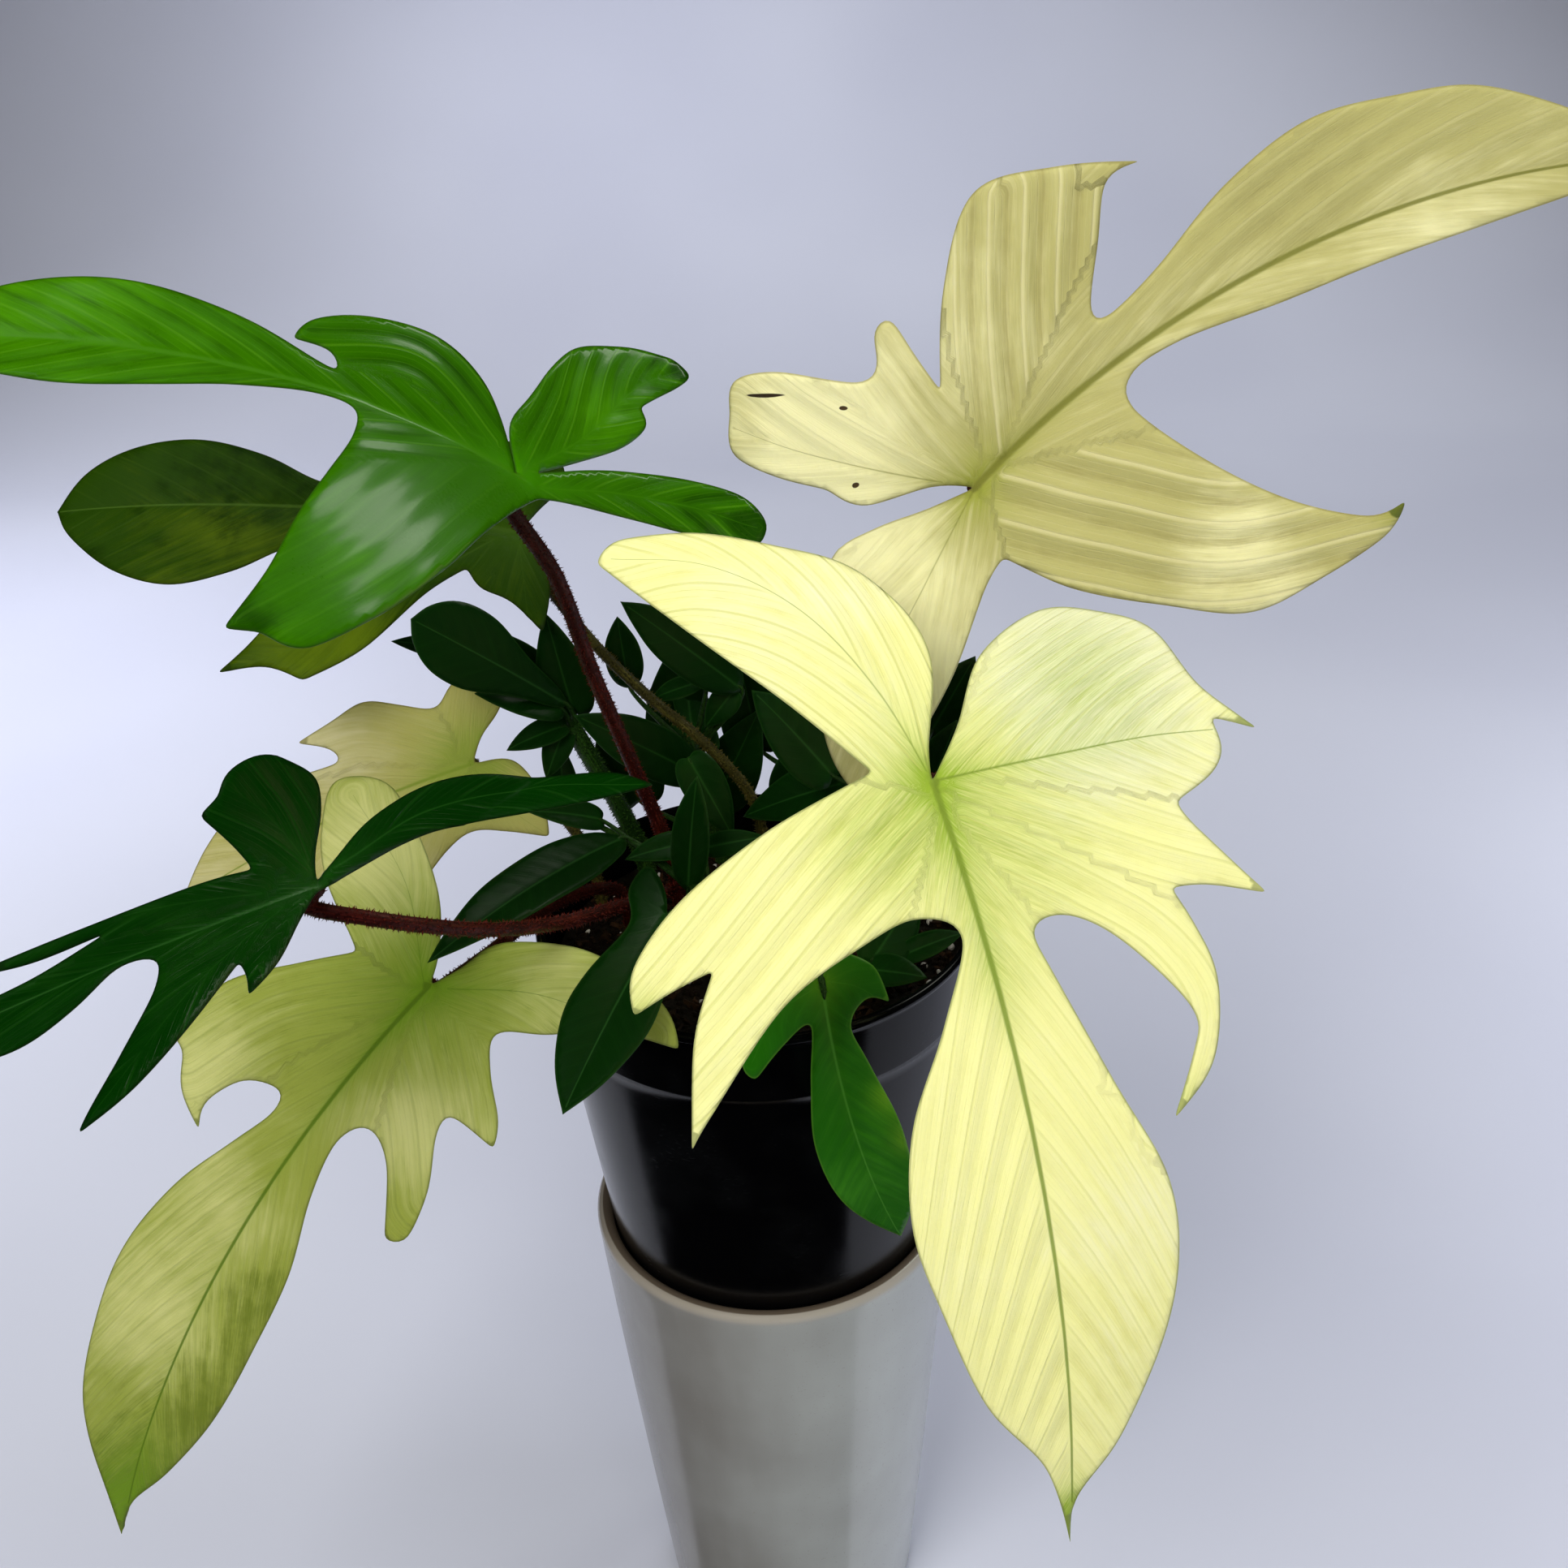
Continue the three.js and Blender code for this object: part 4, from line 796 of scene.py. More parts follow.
            (-10, -43), (3, -22, 1), (14, -32), (30, -45), (50, -46, 1), (51, -42), (60, -36),
            (67, -25, 1), (60, -28), (49, -23), (46, -13), (52, -11), (66, -16), (84, -23),
            (106, -27), (130, -26), (156, -21), (176, -9), (190, 0, 1), (178, 1), (160, 10),
            (136, 18), (110, 20), (88, 19), (66, 12), (48, 9), (41, 14), (46, 24), (63, 36, 1),
            (60, 41), (46, 38), (32, 30), (26, 30), (27, 45, 1), (20, 41), (10, 30), (1, 24),
            (-6, 36), (-16, 50), (-22, 69, 1), (-29, 61), (-32, 46), (-30, 28), (-20, 10), (-9, 5),
        ],
        "form": {"pleat": 7.5, "relief": 0.45, "rib": 0.95, "greenReach": 24.0},
        "veins": [
            (28, 0.4, 1, [(0, 0), (95, 0), (188, 0)]),
            (5, 0.6, 0, [(8, -4), (28, -27), (52, -40)]),
            (20, 0.5, 0.35, [(0, -2), (-20, -22), (-33, -50)]),
            (5, 0.6, 0, [(8, 5), (28, 26), (46, 40)]),
            (20, 0.5, 0.4, [(-2, 5), (-14, 28), (-20, 60)]),
        ],
        # the pale dabs at (120, -13) and (80, -9) and the deep dabs at (98, 14) and (134, 15) paint a
        # highlight on one half of the terminal lobe and shade on the other half, over the leaf's own mottling
        "dabs": [
            ((120, -13), 24, 0.7, -0.6, 0), ((80, -9), 18, 0.5, -0.5, 0), ((98, 14), 16, 0, 0.7, 0),
            ((134, 15), 20, 0, 0.9, 0.1), ((168, 3), 20, 0, 0.6, 0.6), ((188, 0), 14, 0, 1, 1.2),
            ((54, -36), 18, 0.8, -0.3, 0), ((36, 24), 16, 0.9, -0.4, 0), ((-22, -36), 24, 0.9, -0.4, 0),
            ((-12, 34), 22, 0.5, 0, 0),
        ],
    },
    "rear_khaki": {
        "joint": (-89, 30, 346), "reach": (-97, -15, -38), "face": (0, -0.8, 0.6),
        "left": (0.1, -0.3), "right": (0.1, -0.3), "back": 0.2, "bend": 0.2, "sweep": -3, "length": 105,
        "stalkRadius": 1.9,
        "stalk": [(-52, 24, 0), (-56, 24, 318), (-72, 32, 336)],
        "pattern": [
            (0, 0, 1), (-6, -7), (-14, -12), (-20, -20), (-12, -28), (-3, -26), (4, -21),
            (14, -26), (24, -31), (36, -29), (49, -27, 1), (40, -21), (39, -16), (52, -17),
            (72, -18), (90, -11), (105, 0, 1), (88, 9), (63, 15), (48, 22), (39, 33), (30, 31),
            (18, 24), (9, 21), (0, 24), (-13, 32, 1), (-16, 18), (-12, 4),
        ],
        "form": {"pleat": 6.0, "greenReach": 18.0, "ribGreen": 3.4},
        "veins": [
            (25, 0.5, 0.7, [(0, 0), (50, 0), (104, 0)]),
            (6, 0.5, 0, [(8, -5), (28, -22), (46, -27)]),
            (20, 0.5, 0.3, [(0, -2), (-12, -14), (-19, -20)]),
            (6, 0.5, 0, [(6, 6), (25, 24), (42, 30)]),
            (20, 0.5, 0.3, [(0, 3), (-7, 22), (-12, 30)]),
        ],
        "dabs": [
            ((0, 0), 14, 0.2, 0, 0.4), ((46, -25), 24, 0.8, -0.3, 0), ((44, 29), 20, 0.6, 0, 0),
            ((98, 0), 26, 0.5, 0, 0),
        ],
    },
}
stalkForm = {"step": 1.6, "sides": 16, "bristleLength": 1.15, "bristleRadius": 0.26, "bristles": 0.75,
             "bristleTilt": 0.45, "leastBristle": (0.5, 0.5, 0.35), "seed": 3, "depthUnder": 7.7,
             "depthInto": 0.5}


def stalkPaint(name, tone):
    material, nodes = newPaint(name)
    around, along, _ = nodes.parts(nodes.attribute("grain", "Vector"))
    place = nodes.place()
    cloud = nodes.noise(place, 90.0, 3.0)
    streak = nodes.noise(nodes.vector(around * 1.6, along * 0.06, 0.0), 1.0, 3.0)
    wart = nodes.noise(place, 1500.0, 2.0)
    colour = nodes.mix(tone["base"], tone["pale"], nodes.step(cloud * 0.5 + streak * 0.6, 0.5, 0.75))
    colour = nodes.mix(colour, tone["deep"], nodes.step(wart, 0.5, 0.68))
    surface(nodes, colour, nodes.step(wart, 0.3, 0.7, 0.42, 0.62), wart * 0.8 + streak * 0.3, 0.25 * mm)
    return material


def hairPaint(name, tone):
    material, nodes = newPaint(name)
    place = nodes.place()
    colour = nodes.mix(tone["hair"], tone["pale"], nodes.noise(place, 700.0))
    surface(nodes, colour, 0.55, nodes.noise(place, 3000.0), 0.05 * mm)
    return material


stalkPaints = {key: stalkPaint("stalk_" + key, coloured(tone)) for key, tone in stalkTones.items()}
hairPaints = {key: hairPaint("bristle_" + key, coloured(tone)) for key, tone in stalkTones.items()}
bristle = {"Vertices": 4, "Radius Top": 0.0, "Radius Bottom": stalkForm["bristleRadius"] * mm,
           "Depth": stalkForm["bristleLength"] * mm}
bristleTrees = {key: scatterTree("bristles_" + key, "GeometryNodeMeshCone", {"fill_type": "NGON"}, bristle,
                                 hairPaints[key], stalkForm["bristleTilt"], stalkForm["leastBristle"])
                for key in stalkTones}


def bristly(made, tone, seed):
    grow(made, bristleTrees[tone], {"Density": stalkForm["bristles"] / mm ** 2, "Seed": seed})


rootLevels = (275, 288, 298)       # in the soil, near its top and above it


def rooted(path):                  # a stem leaves the soil upright
    x, y = path[0][:2]
    return [(x, y, z) for z in rootLevels] + path[1:]


def largeLeaf(number, name, leaf):
    form = {**bladeForm, **leaf["form"]}
    look = coloured({**plainLook, **largeLooks[name], "pleat": form["pleat"]})
    blade = Shape()
    sheet = bladeMesh(blade, leaf, form)
    handOver(blade.piece("leaf_" + name, [leafPaint("leaf_" + name, look)]), "blade_" + name)
    under, into = (sheet(0, 0, -stalkForm[depth])[0] for depth in ("depthUnder", "depthInto"))
    line = throughPoints(rooted(leaf["stalk"]) + [under, into], stalkForm["step"])
    share = np.linspace(0, 1, len(line))   # a stalk is thicker at its foot and under its blade
    swell = 1.12 - 0.2 * np.minimum(share / 0.3, 1) + 0.12 * np.clip((share - 0.93) / 0.07, 0, 1)
    stalk = Shape()
    tube(stalk, line, leaf["stalkRadius"] * swell, stalkForm["sides"], hairy=1.0)
    tone = "olive" if name in ("back_olive", "rear_khaki") else "maroon"
    made = stalk.piece("petiole_" + name, [stalkPaints[tone]])
    bristly(made, tone, stalkForm["seed"] + number)
    handOver(made, "stalk_" + name)


for number, (name, leaf) in enumerate(largeLeaves.items()):
    largeLeaf(number, name, leaf)
print("stage: large leaves done")


# Young shoots
youngForm = {**bladeForm, "step": 1.8, "pleat": 4.5, "relief": 0.18, "rib": 0.9, "groove": 0.15, "ridge": 0.4,
             "ripple": 0.25, "green": 0.35, "greenReach": 8.0, "fade": 0.45}     # too low for bristles
smallBlade = {"length": 30, "step": 1.3}       # a blade under this length has a finer mesh
shootForm = {"step": 2.0, "sides": 14, "belowTop": 4, "belowJoint": 12, "stalkStep": 1.5, "stalkSides": 8,
             "stalkRadii": (1.25, 0.55), "stalkEnd": (0.1, -0.75), "seed": 20}
youngLook = {**plainLook, "base": "#062204", "pale": "#113c09", "deep": "#020d01", "green": "#16420c",
             "vein": "#1a4212", "rib": "#28541f", "margin": "#234419", "under": "#1c3c15", "rough": 0.36,
             "gloss": 0.24, "glow": 0.02, "pleat": 4.5, "veinWidth": 0.4, "veinShare": 0.2, "ribShare": 0.4,
             "marginShare": 0.4, "bump": 0.08}


def mirrored(half):
    return half + [(u, -v) + tuple(sharp) for u, v, *sharp in reversed(half[1:-1])]


# outlines and side veins in hundredths of the blade's length
youngPatterns = {
    "oval": mirrored([(0, 0, 1), (-7, 9), (0, 21), (22, 28), (52, 25), (80, 13), (100, 0, 1)]),
    "paddle": mirrored([(0, 0, 1), (10, 6), (36, 13), (62, 24), (82, 23), (94, 13), (100, 0, 1)]),
    "strap": mirrored([(0, 0, 1), (10, 8), (34, 13), (64, 12), (86, 6), (100, 0, 1)]),
    "lobed": mirrored([(0, 0, 1), (-16, 10), (-26, 26), (-8, 33), (14, 24), (28, 38), (42, 46, 1), (40, 22),
                       (62, 20), (84, 13), (100, 0, 1)]),
    "eared": mirrored([(0, 0, 1), (-14, 7), (-25, 20), (-6, 21), (12, 12), (42, 17), (62, 18), (84, 11),
                       (100, 0, 1)]),
}
sideVeins = {"lobed": [((0, 0), (-14, 18), (-20, 26)), ((6, 2), (24, 24), (38, 42)),
                       ((0, 0), (-14, -18), (-20, -26)), ((6, -2), (24, -24), (38, -42))],
             "eared": [((0, 0), (-12, 9), (-20, 17)), ((0, 0), (-12, -9), (-20, -17))]}
# each leaf: pattern, joint, reach, face, width
shoots = {
    "young_shoot_left": {
        "radius": 3, "stem": [(-38, 42, 0), (-44, 42, 318), (-58, 42, 352)],
        "leaves": [
            ("paddle", (-58, 42, 359), (-43, -16, 40), (0.3, -0.8, 0.5), 0.85),
            ("oval", (-57, 44, 356), (-6, 3, 34), (0.1, -0.95, 0.2), 0.9),
            ("strap", (-74, 55, 369), (-42, 4, 8), (0, -0.6, 0.8), 0.9),
            ("oval", (-69, 54, 364), (-31, 8, 6), (0, -0.5, 0.85), 0.8),
            ("oval", (-61, 40, 360), (-25, -8, 10), (0, -0.6, 0.8), 0.9),
            ("oval", (-60, 40, 353), (-19, -4, -6), (0, -0.6, 0.8), 0.9),
            ("oval", (-60, 41, 352), (-7, -7, -15), (0, -0.9, 0.4), 1),
            ("oval", (-62, 50, 358), (-14, 5, 21), (0, -0.8, 0.6), 0.8),
            ("oval", (-64, 50, 318), (0, 2, 24), (0, -0.95, 0.3), 0.8),
        ],
    },
    "young_shoot_middle": {
        "radius": 3, "stem": [(-12, 50, 0), (-15, 49, 318), (-21, 48, 342)],
        "leaves": [
            ("strap", (-39, 53, 359), (-2, 0, 26), (0, -1, 0.2), 1.8),
            ("strap", (-2, 48, 359), (-37, -4, 35), (0.3, -0.9, 0.4), 1.3),
            ("strap", (-14, 50, 362), (-18, -4, -4), (0, -0.6, 0.8), 1.6),
            ("oval", (-5, 48, 359), (-10, -4, -11), (0, -0.9, 0.5), 1.2),
            ("strap", (-16, 42, 330), (-40, -10, 31), (0.2, -0.8, 0.6), 1.3),
            ("oval", (-20, 30, 344), (13, -10, -24), (0.1, -0.8, 0.6), 0.9),
            ("oval", (-40, 58, 314), (-8, 2, 36), (0, -0.95, 0.3), 1.1),
            ("oval", (-14, 58, 312), (17, 2, 34), (0, -0.95, 0.3), 1),
            ("eared", (-20, 55, 343), (-4, 34, 22), (0, 0.2, 0.95), 1),
            ("oval", (-25, 62, 330), (2, 6, 40), (0, -0.95, 0.3), 1),
        ],
    },
    "young_shoot_right": {
        "radius": 2.8, "stem": [(34, 16, 0), (38, 16, 314), (46, 20, 336)],
        "leaves": [
            ("oval", (58, 30, 351), (12, -10, 30), (-0.2, -0.9, 0.3), 1),
            ("oval", (57, 20, 337), (7, -5, 25), (-0.2, -0.9, 0.3), 1),
            ("oval", (54, 35, 339), (8, 0, 17), (-0.2, -0.9, 0.3), 1),
            ("oval", (25, 16, 344), (-24, 14, 24), (0.2, -0.8, 0.6), 1),
            ("oval", (32, 22, 338), (-36, 6, -15), (0, -0.6, 0.8), 0.85),
            ("lobed", (56, 14, 334), (32, -6, 4), (0.2, -0.2, 0.95), 0.9),
            ("eared", (48, 30, 336), (30, 30, 10), (0.1, 0.2, 0.95), 0.9),
        ],
    },
    "young_shoot_front": {
        "radius": 2.8, "stem": [(-6, -10, 0), (-11, -10, 306), (-18, -10, 322)],
        "leaves": [
            ("eared", (-25, -45, 334), (-26, -63, -18), (-0.1, -0.66, 0.75), 0.95),
            ("strap", (-40, 5, 331), (-49, -75, 8), (0, -0.5, 0.85), 0.8),
            ("strap", (-21, -8, 318), (5, 6, 38), (-0.2, -1, 0.1), 1.2),
            ("oval", (-20, 5, 328), (-20, -10, 1), (0, -0.6, 0.8), 0.8),
            ("oval", (-15, 5, 326), (19, 0, 3), (0, -0.7, 0.7), 0.8),
            ("oval", (-48, 10, 335), (-21, -10, 10), (0, -0.6, 0.8), 0.7),
        ],
    },
    "young_shoot_side": {
        "radius": 2.2, "stem": [(38, -26, 0), (36, -28, 300)],
        "leaves": [
            ("oval", (34, -30, 305), (16, 22, 10), (0.1, -0.7, 0.7), 1),
            ("oval", (33, -32, 303), (17, -8, 2), (0.3, -0.6, 0.8), 1.1),
            ("strap", (40, -28, 303), (22, 2, 8), (0.1, -0.5, 0.9), 1.4),
        ],
    },
    "young_shoot_back": {
        "radius": 2.8, "stem": [(22, 50, 0), (25, 54, 325), (27, 57, 343)],
        "leaves": [
            ("lobed", (28, 60, 350), (10, 32, 40), (0.1, 0.1, 0.95), 0.9),
            ("oval", (24, 62, 349), (-20, 34, 26), (-0.2, 0.2, 0.9), 0.9),
            ("lobed", (32, 60, 347), (40, 24, 12), (0.2, 0.1, 0.95), 0.9),
            ("oval", (27, 64, 344), (4, 44, -2), (0, 0.3, 0.95), 0.8),
            ("oval", (11, 58, 312), (12, 2, 29), (0, -0.95, 0.3), 1),
            ("oval", (2, 62, 330), (-6, 4, 38), (0, -0.95, 0.3), 1),
        ],
    },
}


def youngLeaf(pattern, joint, reach, face, width):
    length = float(np.linalg.norm(reach))
    long, wide = length / 100, width * length / 100
    veins = [(48, 0.8, 0.8, [(0, 0), (length * 0.5, 0), (length * 0.97, 0)])]
    for line in sideVeins.get(pattern, []):
        veins.append((40, 0.8, 0.3, [(u * long, v * wide) for u, v in line]))
    shape = [(u * long, v * wide, *sharp) for u, v, *sharp in youngPatterns[pattern]]
    return {"joint": joint, "reach": reach, "face": face, "length": length, "bend": 40 / length, "back": 0.4,
            "sweep": 0, "left": (0.2, -0.9), "right": (0.2, -0.9), "pattern": shape, "veins": veins,
            "dabs": []}


def youngShoot(shoot):             # a stem, and from it a short stalk to each blade
    plant = Shape()
    stem = throughPoints(rooted(shoot["stem"]), shootForm["step"])
    tube(plant, stem, np.full(len(stem), shoot["radius"]), shootForm["sides"], hairy=1.0)
    share, lift = shootForm["stalkEnd"]
    for entry in shoot["leaves"]:
        leaf = youngLeaf(*entry)
        step = smallBlade["step"] if leaf["length"] < smallBlade["length"] else youngForm["step"]
        sheet = bladeMesh(plant, leaf, {**youngForm, "step": step}, paint=1)
        height = max(leaf["joint"][2] - shootForm["belowJoint"], rootLevels[-1])
        height = min(height, shoot["stem"][-1][2] - shootForm["belowTop"])
        start = stem[np.flatnonzero(stem[:, 2] <= height)[-1]]
        end = sheet(leaf["length"] * share, 0, lift)[0]
        line = throughPoints([start, leaf["joint"], end], shootForm["stalkStep"])
        tube(plant, line, np.linspace(*shootForm["stalkRadii"], len(line)), shootForm["stalkSides"])
    return plant


youngPaint = leafPaint("leaf_young", coloured(youngLook))
for number, (name, shoot) in enumerate(shoots.items()):
    made = youngShoot(shoot).piece("leaves_" + name, [stalkPaints["young"], youngPaint])
    bristly(made, "young", shootForm["seed"] + number)
    handOver(made, name)
print("stage: young shoots done")


# The bright young leaf at the front
frontLeaf = {
    "joint": (18, -66, 325), "reach": (20, -20, -78), "face": (0, -0.95, 0.2), "left": (0.1, -0.8),
    "right": (0.1, -0.8), "back": 0.6, "bend": 0.9, "sweep": -3, "length": 85,
    "stalkRadius": 1.9, "stalkTaper": 1.3, "stalkSides": 12, "stalkEnd": (8, -1.0), "seed": 40,
    "stalk": [(10, -32, 0), (12, -40, 310), (16, -54, 321)],
    "dabs": [((12, 0), 12, 0, 0.5, 0), ((36, 12), 6, 0.2, 0, 0.5), ((50, 14), 6, 0, 0, 0.5),
             ((58, -3), 20, 0.3, 0, 0)],
    "pattern": [(0, 0, 1), (-6, -5), (-3, -13), (8, -22), (18, -26), (22, -23, 1), (15, -14), (11, -5),
                (26, -8), (46, -12), (66, -10), (85, 0, 1), (68, 10), (46, 13), (26, 9), (14, 6), (8, 12),
                (11, 18, 1), (0, 15), (-6, 6)],
    "veins": [(45, 0.8, 0.8, [(0, 0), (40, 0), (83, 0)]), (35, 0.8, 0.3, [(2, -3), (6, -14), (17, -23)]),
              (35, 0.8, 0.3, [(1, 2), (4, 9), (9, 15)])],
}
frontLook = {**youngLook, "base": "#1c5c06", "pale": "#3f8a10", "deep": "#0c3c02", "green": "#6d9a1c",
             "vein": "#3c7c22", "rib": "#4c8a2e", "margin": "#5f8f2a", "under": "#3d6b2c", "ribShare": 0.45}
plant = Shape()
sheet = bladeMesh(plant, frontLeaf, {**youngForm, "step": smallBlade["step"]}, paint=1)
run, lift = frontLeaf["stalkEnd"]
path = rooted(frontLeaf["stalk"]) + [frontLeaf["joint"], sheet(run, 0, lift)[0]]
line = throughPoints(path, shootForm["stalkStep"])
radii = frontLeaf["stalkRadius"] - frontLeaf["stalkTaper"] * np.linspace(0, 1, len(line)) ** 4
tube(plant, line, radii, frontLeaf["stalkSides"], hairy=1.0)
made = plant.piece("leaf_at_front", [stalkPaints["young"], leafPaint("leaf_fresh", coloured(frontLook))])
bristly(made, "young", frontLeaf["seed"])
handOver(made, "leaf_front_green")
print("stage: front leaf done")


# Pots and soil
pots = {"lipRadius": 61.6, "taper": 0.107, "curve": 0.010, "coverHeight": 190, "coverFloor": 8,
        "footRound": 2.0, "lipRound": 2.6, "rim": 308, "rimRadius": 70, "collar": 23.4, "collarRadius": 67.6,
        "collarFlare": 0.8, "bodyRadius": 66.4, "draft": 0.112, "base": 160, "floor": 2.2, "chamfer": 1.5,
        "wall": 1.4, "bead": 1.6, "ledge": (0.6, 0.7), "soil": 292, "gap": 0.3, "insideBevel": 4,
        "sides": 144}


def nurseryOuter(z):
    return pots["bodyRadius"] - pots["draft"] * (pots["rim"] - z - pots["collar"])


def coverOuter(z):
    depth = (pots["coverHeight"] - z) / 100
    return pots["lipRadius"] * (1 - pots["taper"] * depth - pots["curve"] * depth ** 2)


def ceramicPaint():                # places in it are in metres
    material, nodes = newPaint("glazed_ceramic")
    place = nodes.place()
    x, y, z = nodes.parts(place)
    cloud = nodes.noise(place, 22.0, 3.0)
    drip = nodes.noise(nodes.vector(x * 60, y * 60, z * 9), 1.0, 3.0)
    fleck = nodes.noise(place, 1300.0, 2.0)
    # painted shade and light: the glaze is darker towards the left and lighter towards the right, as lit from
    # the right, with cloudy edges
    paintedLightSide = nodes.step(x * 6.0 + (cloud - 0.5) * 0.35 + (drip - 0.5) * 0.2, -0.5, 0.5)
    colour = nodes.mix(rgb("#6f6a64"), rgb("#b4b9b6"), paintedLightSide)
    colour = nodes.mix(colour, rgb("#8d8983"), nodes.step(fleck, 0.66, 0.72) * 0.5)
    lip = nodes.step(z + (cloud - 0.5) * 0.002, 0.1862, 0.1895)
    colour = nodes.mix(colour, rgb("#a59c8f"), lip * 0.75)
    inside = nodes.step(x * x + y * y, 0.0592 ** 2, 0.0597 ** 2, 1.0, 0.0)
    colour = nodes.mix(colour, rgb("#5d5246"), inside * nodes.step(z, 0.17, 0.188))
    height = cloud * 0.3 + nodes.noise(place, 260.0) * 0.05
    surface(nodes, colour, nodes.step(cloud, 0.3, 0.7, 0.2, 0.27), height, 0.12 * mm,
            {"Coat Weight": 0.25, "Coat Roughness": 0.12})
    return material


def blackPaint():
    material, nodes = newPaint("black_plastic")
    place = nodes.place()
    x, y, z = nodes.parts(place)
    dust = nodes.noise(place, 2200.0, 2.0, 0.7)
    film = nodes.noise(place, 45.0, 4.0)
    scratch = nodes.noise(nodes.vector(x * 300, y * 300, z * 3200), 1.0, 2.0)
    colour = nodes.mix(rgb("#030304"), rgb("#08090a"), nodes.step(film, 0.45, 0.75))
    colour = nodes.mix(colour, rgb("#4b4a47"), nodes.step(dust + (film - 0.5) * 0.3, 0.74, 0.8) * 0.5)
    rough = nodes.step(film, 0.3, 0.75, 0.13, 0.24) + nodes.step(scratch, 0.6, 0.75) * 0.08
    surface(nodes, colour, rough, scratch * 0.12 + film * 0.4, 0.12 * mm, {"Specular IOR Level": 0.22})
    return material


def earthPaint(name, low, high, rough):
    material, nodes = newPaint(name)
    place = nodes.place()
    grit = nodes.noise(place, 500.0, 4.0, 0.7)
    lump = nodes.noise(place, 110.0, 3.0)
    colour = nodes.mix(rgb(low), rgb(high), nodes.step(grit * 0.6 + lump * 0.4, 0.38, 0.68))
    surface(nodes, colour, nodes.step(lump, 0.3, 0.7, rough - 0.08, rough), grit + lump * 0.6, 0.8 * mm)
    return material


def coverPot():
    floor, lipZ = pots["coverFloor"], pots["coverHeight"] - pots["lipRound"]
    wall = coverOuter(lipZ) - nurseryOuter(lipZ) - pots["gap"]
    outside = [(coverOuter(z), z) for z in np.linspace(pots["footRound"], lipZ, 46)][:-1]
    inside = [(coverOuter(z) - wall, z) for z in np.linspace(lipZ, floor + pots["insideBevel"], 40)][1:]
    footRound = pots["footRound"]
    foot = arc((coverOuter(footRound) - footRound, footRound), (footRound, footRound), -90, 0, 5)[:-1]
    lip = arc((coverOuter(lipZ) - wall / 2, lipZ), (wall / 2, pots["lipRound"]), 0, 180, 16)
    bottom = [(coverOuter(floor) - wall - pots["insideBevel"], floor), (0, floor)]
    cover = Shape()
    turned(cover, [(0, 0)] + foot + outside + lip + inside + bottom, pots["sides"])
    handOver(cover.piece("cover_pot", [ceramicPaint()]), "outer_pot")


def nurseryPot():
    rim, base, bead, wall, collar = (pots[key] for key in ("rim", "base", "bead", "wall", "collarRadius"))
    chamfer, floor = pots["chamfer"], base + pots["floor"]
    collarZ, collarTop = rim - pots["collar"], collar + pots["collarFlare"]
    start = [(0, base), (nurseryOuter(base) - chamfer, base)]
    side = [(nurseryOuter(z), z) for z in np.linspace(base + chamfer, collarZ - chamfer, 24)]
    body = nurseryOuter(collarZ)
    step, rise = pots["ledge"]
    ledge = arc((body + step, collarZ - 0.2), (collar - body - step, rise), -90, 0, 6)
    neck = rim - 2 * bead
    collarSide = [(collar, collarZ + 1.2), (collarTop, neck - 1.4), (collarTop - 0.1, neck)]
    roll = arc((pots["rimRadius"] - bead, rim - bead), (bead, bead), -90, 180, 22)
    inside = [(collarTop - wall, neck - 1), (collar - wall, collarZ + 1.2),
              (body - wall, collarZ - 0.4), (nurseryOuter(floor) - wall, floor), (0, floor)]
    black = Shape()
    turned(black, start + side + ledge + collarSide + roll + inside, pots["sides"])
    handOver(black.piece("black_pot", [blackPaint()]), "nursery_pot")


# what lies on the soil: name, node and its sizes, least share, number to a square mm, size in mm, looks
crumbs = [
    ("earth", "GeometryNodeMeshIcoSphere", {"Radius": 1.0, "Subdivisions": 1},
     (0.35, 0.35, 0.3), 0.16, 1.7, ("#0d0906", "#211710", 0.95)),
    ("bark", "GeometryNodeMeshCube", {"Size": (2.6, 1.6, 0.8)},
     (0.4, 0.4, 0.4), 0.022, 1.9, ("#1c110a", "#3d2817", 0.85)),
    ("perlite", "GeometryNodeMeshIcoSphere", {"Radius": 1.0, "Subdivisions": 2},
     (0.5, 0.5, 0.5), 0.003, 1.3, ("#b9b3a6", "#dcd8cf", 0.8)),
]
soilForm = {"step": 2.2, "shoulder": 9, "rise": 3.0, "lumps": 1.1, "bareEdge": 2.5, "crumbTilt": 1.4,
            "sides": 96, "seed": 5}


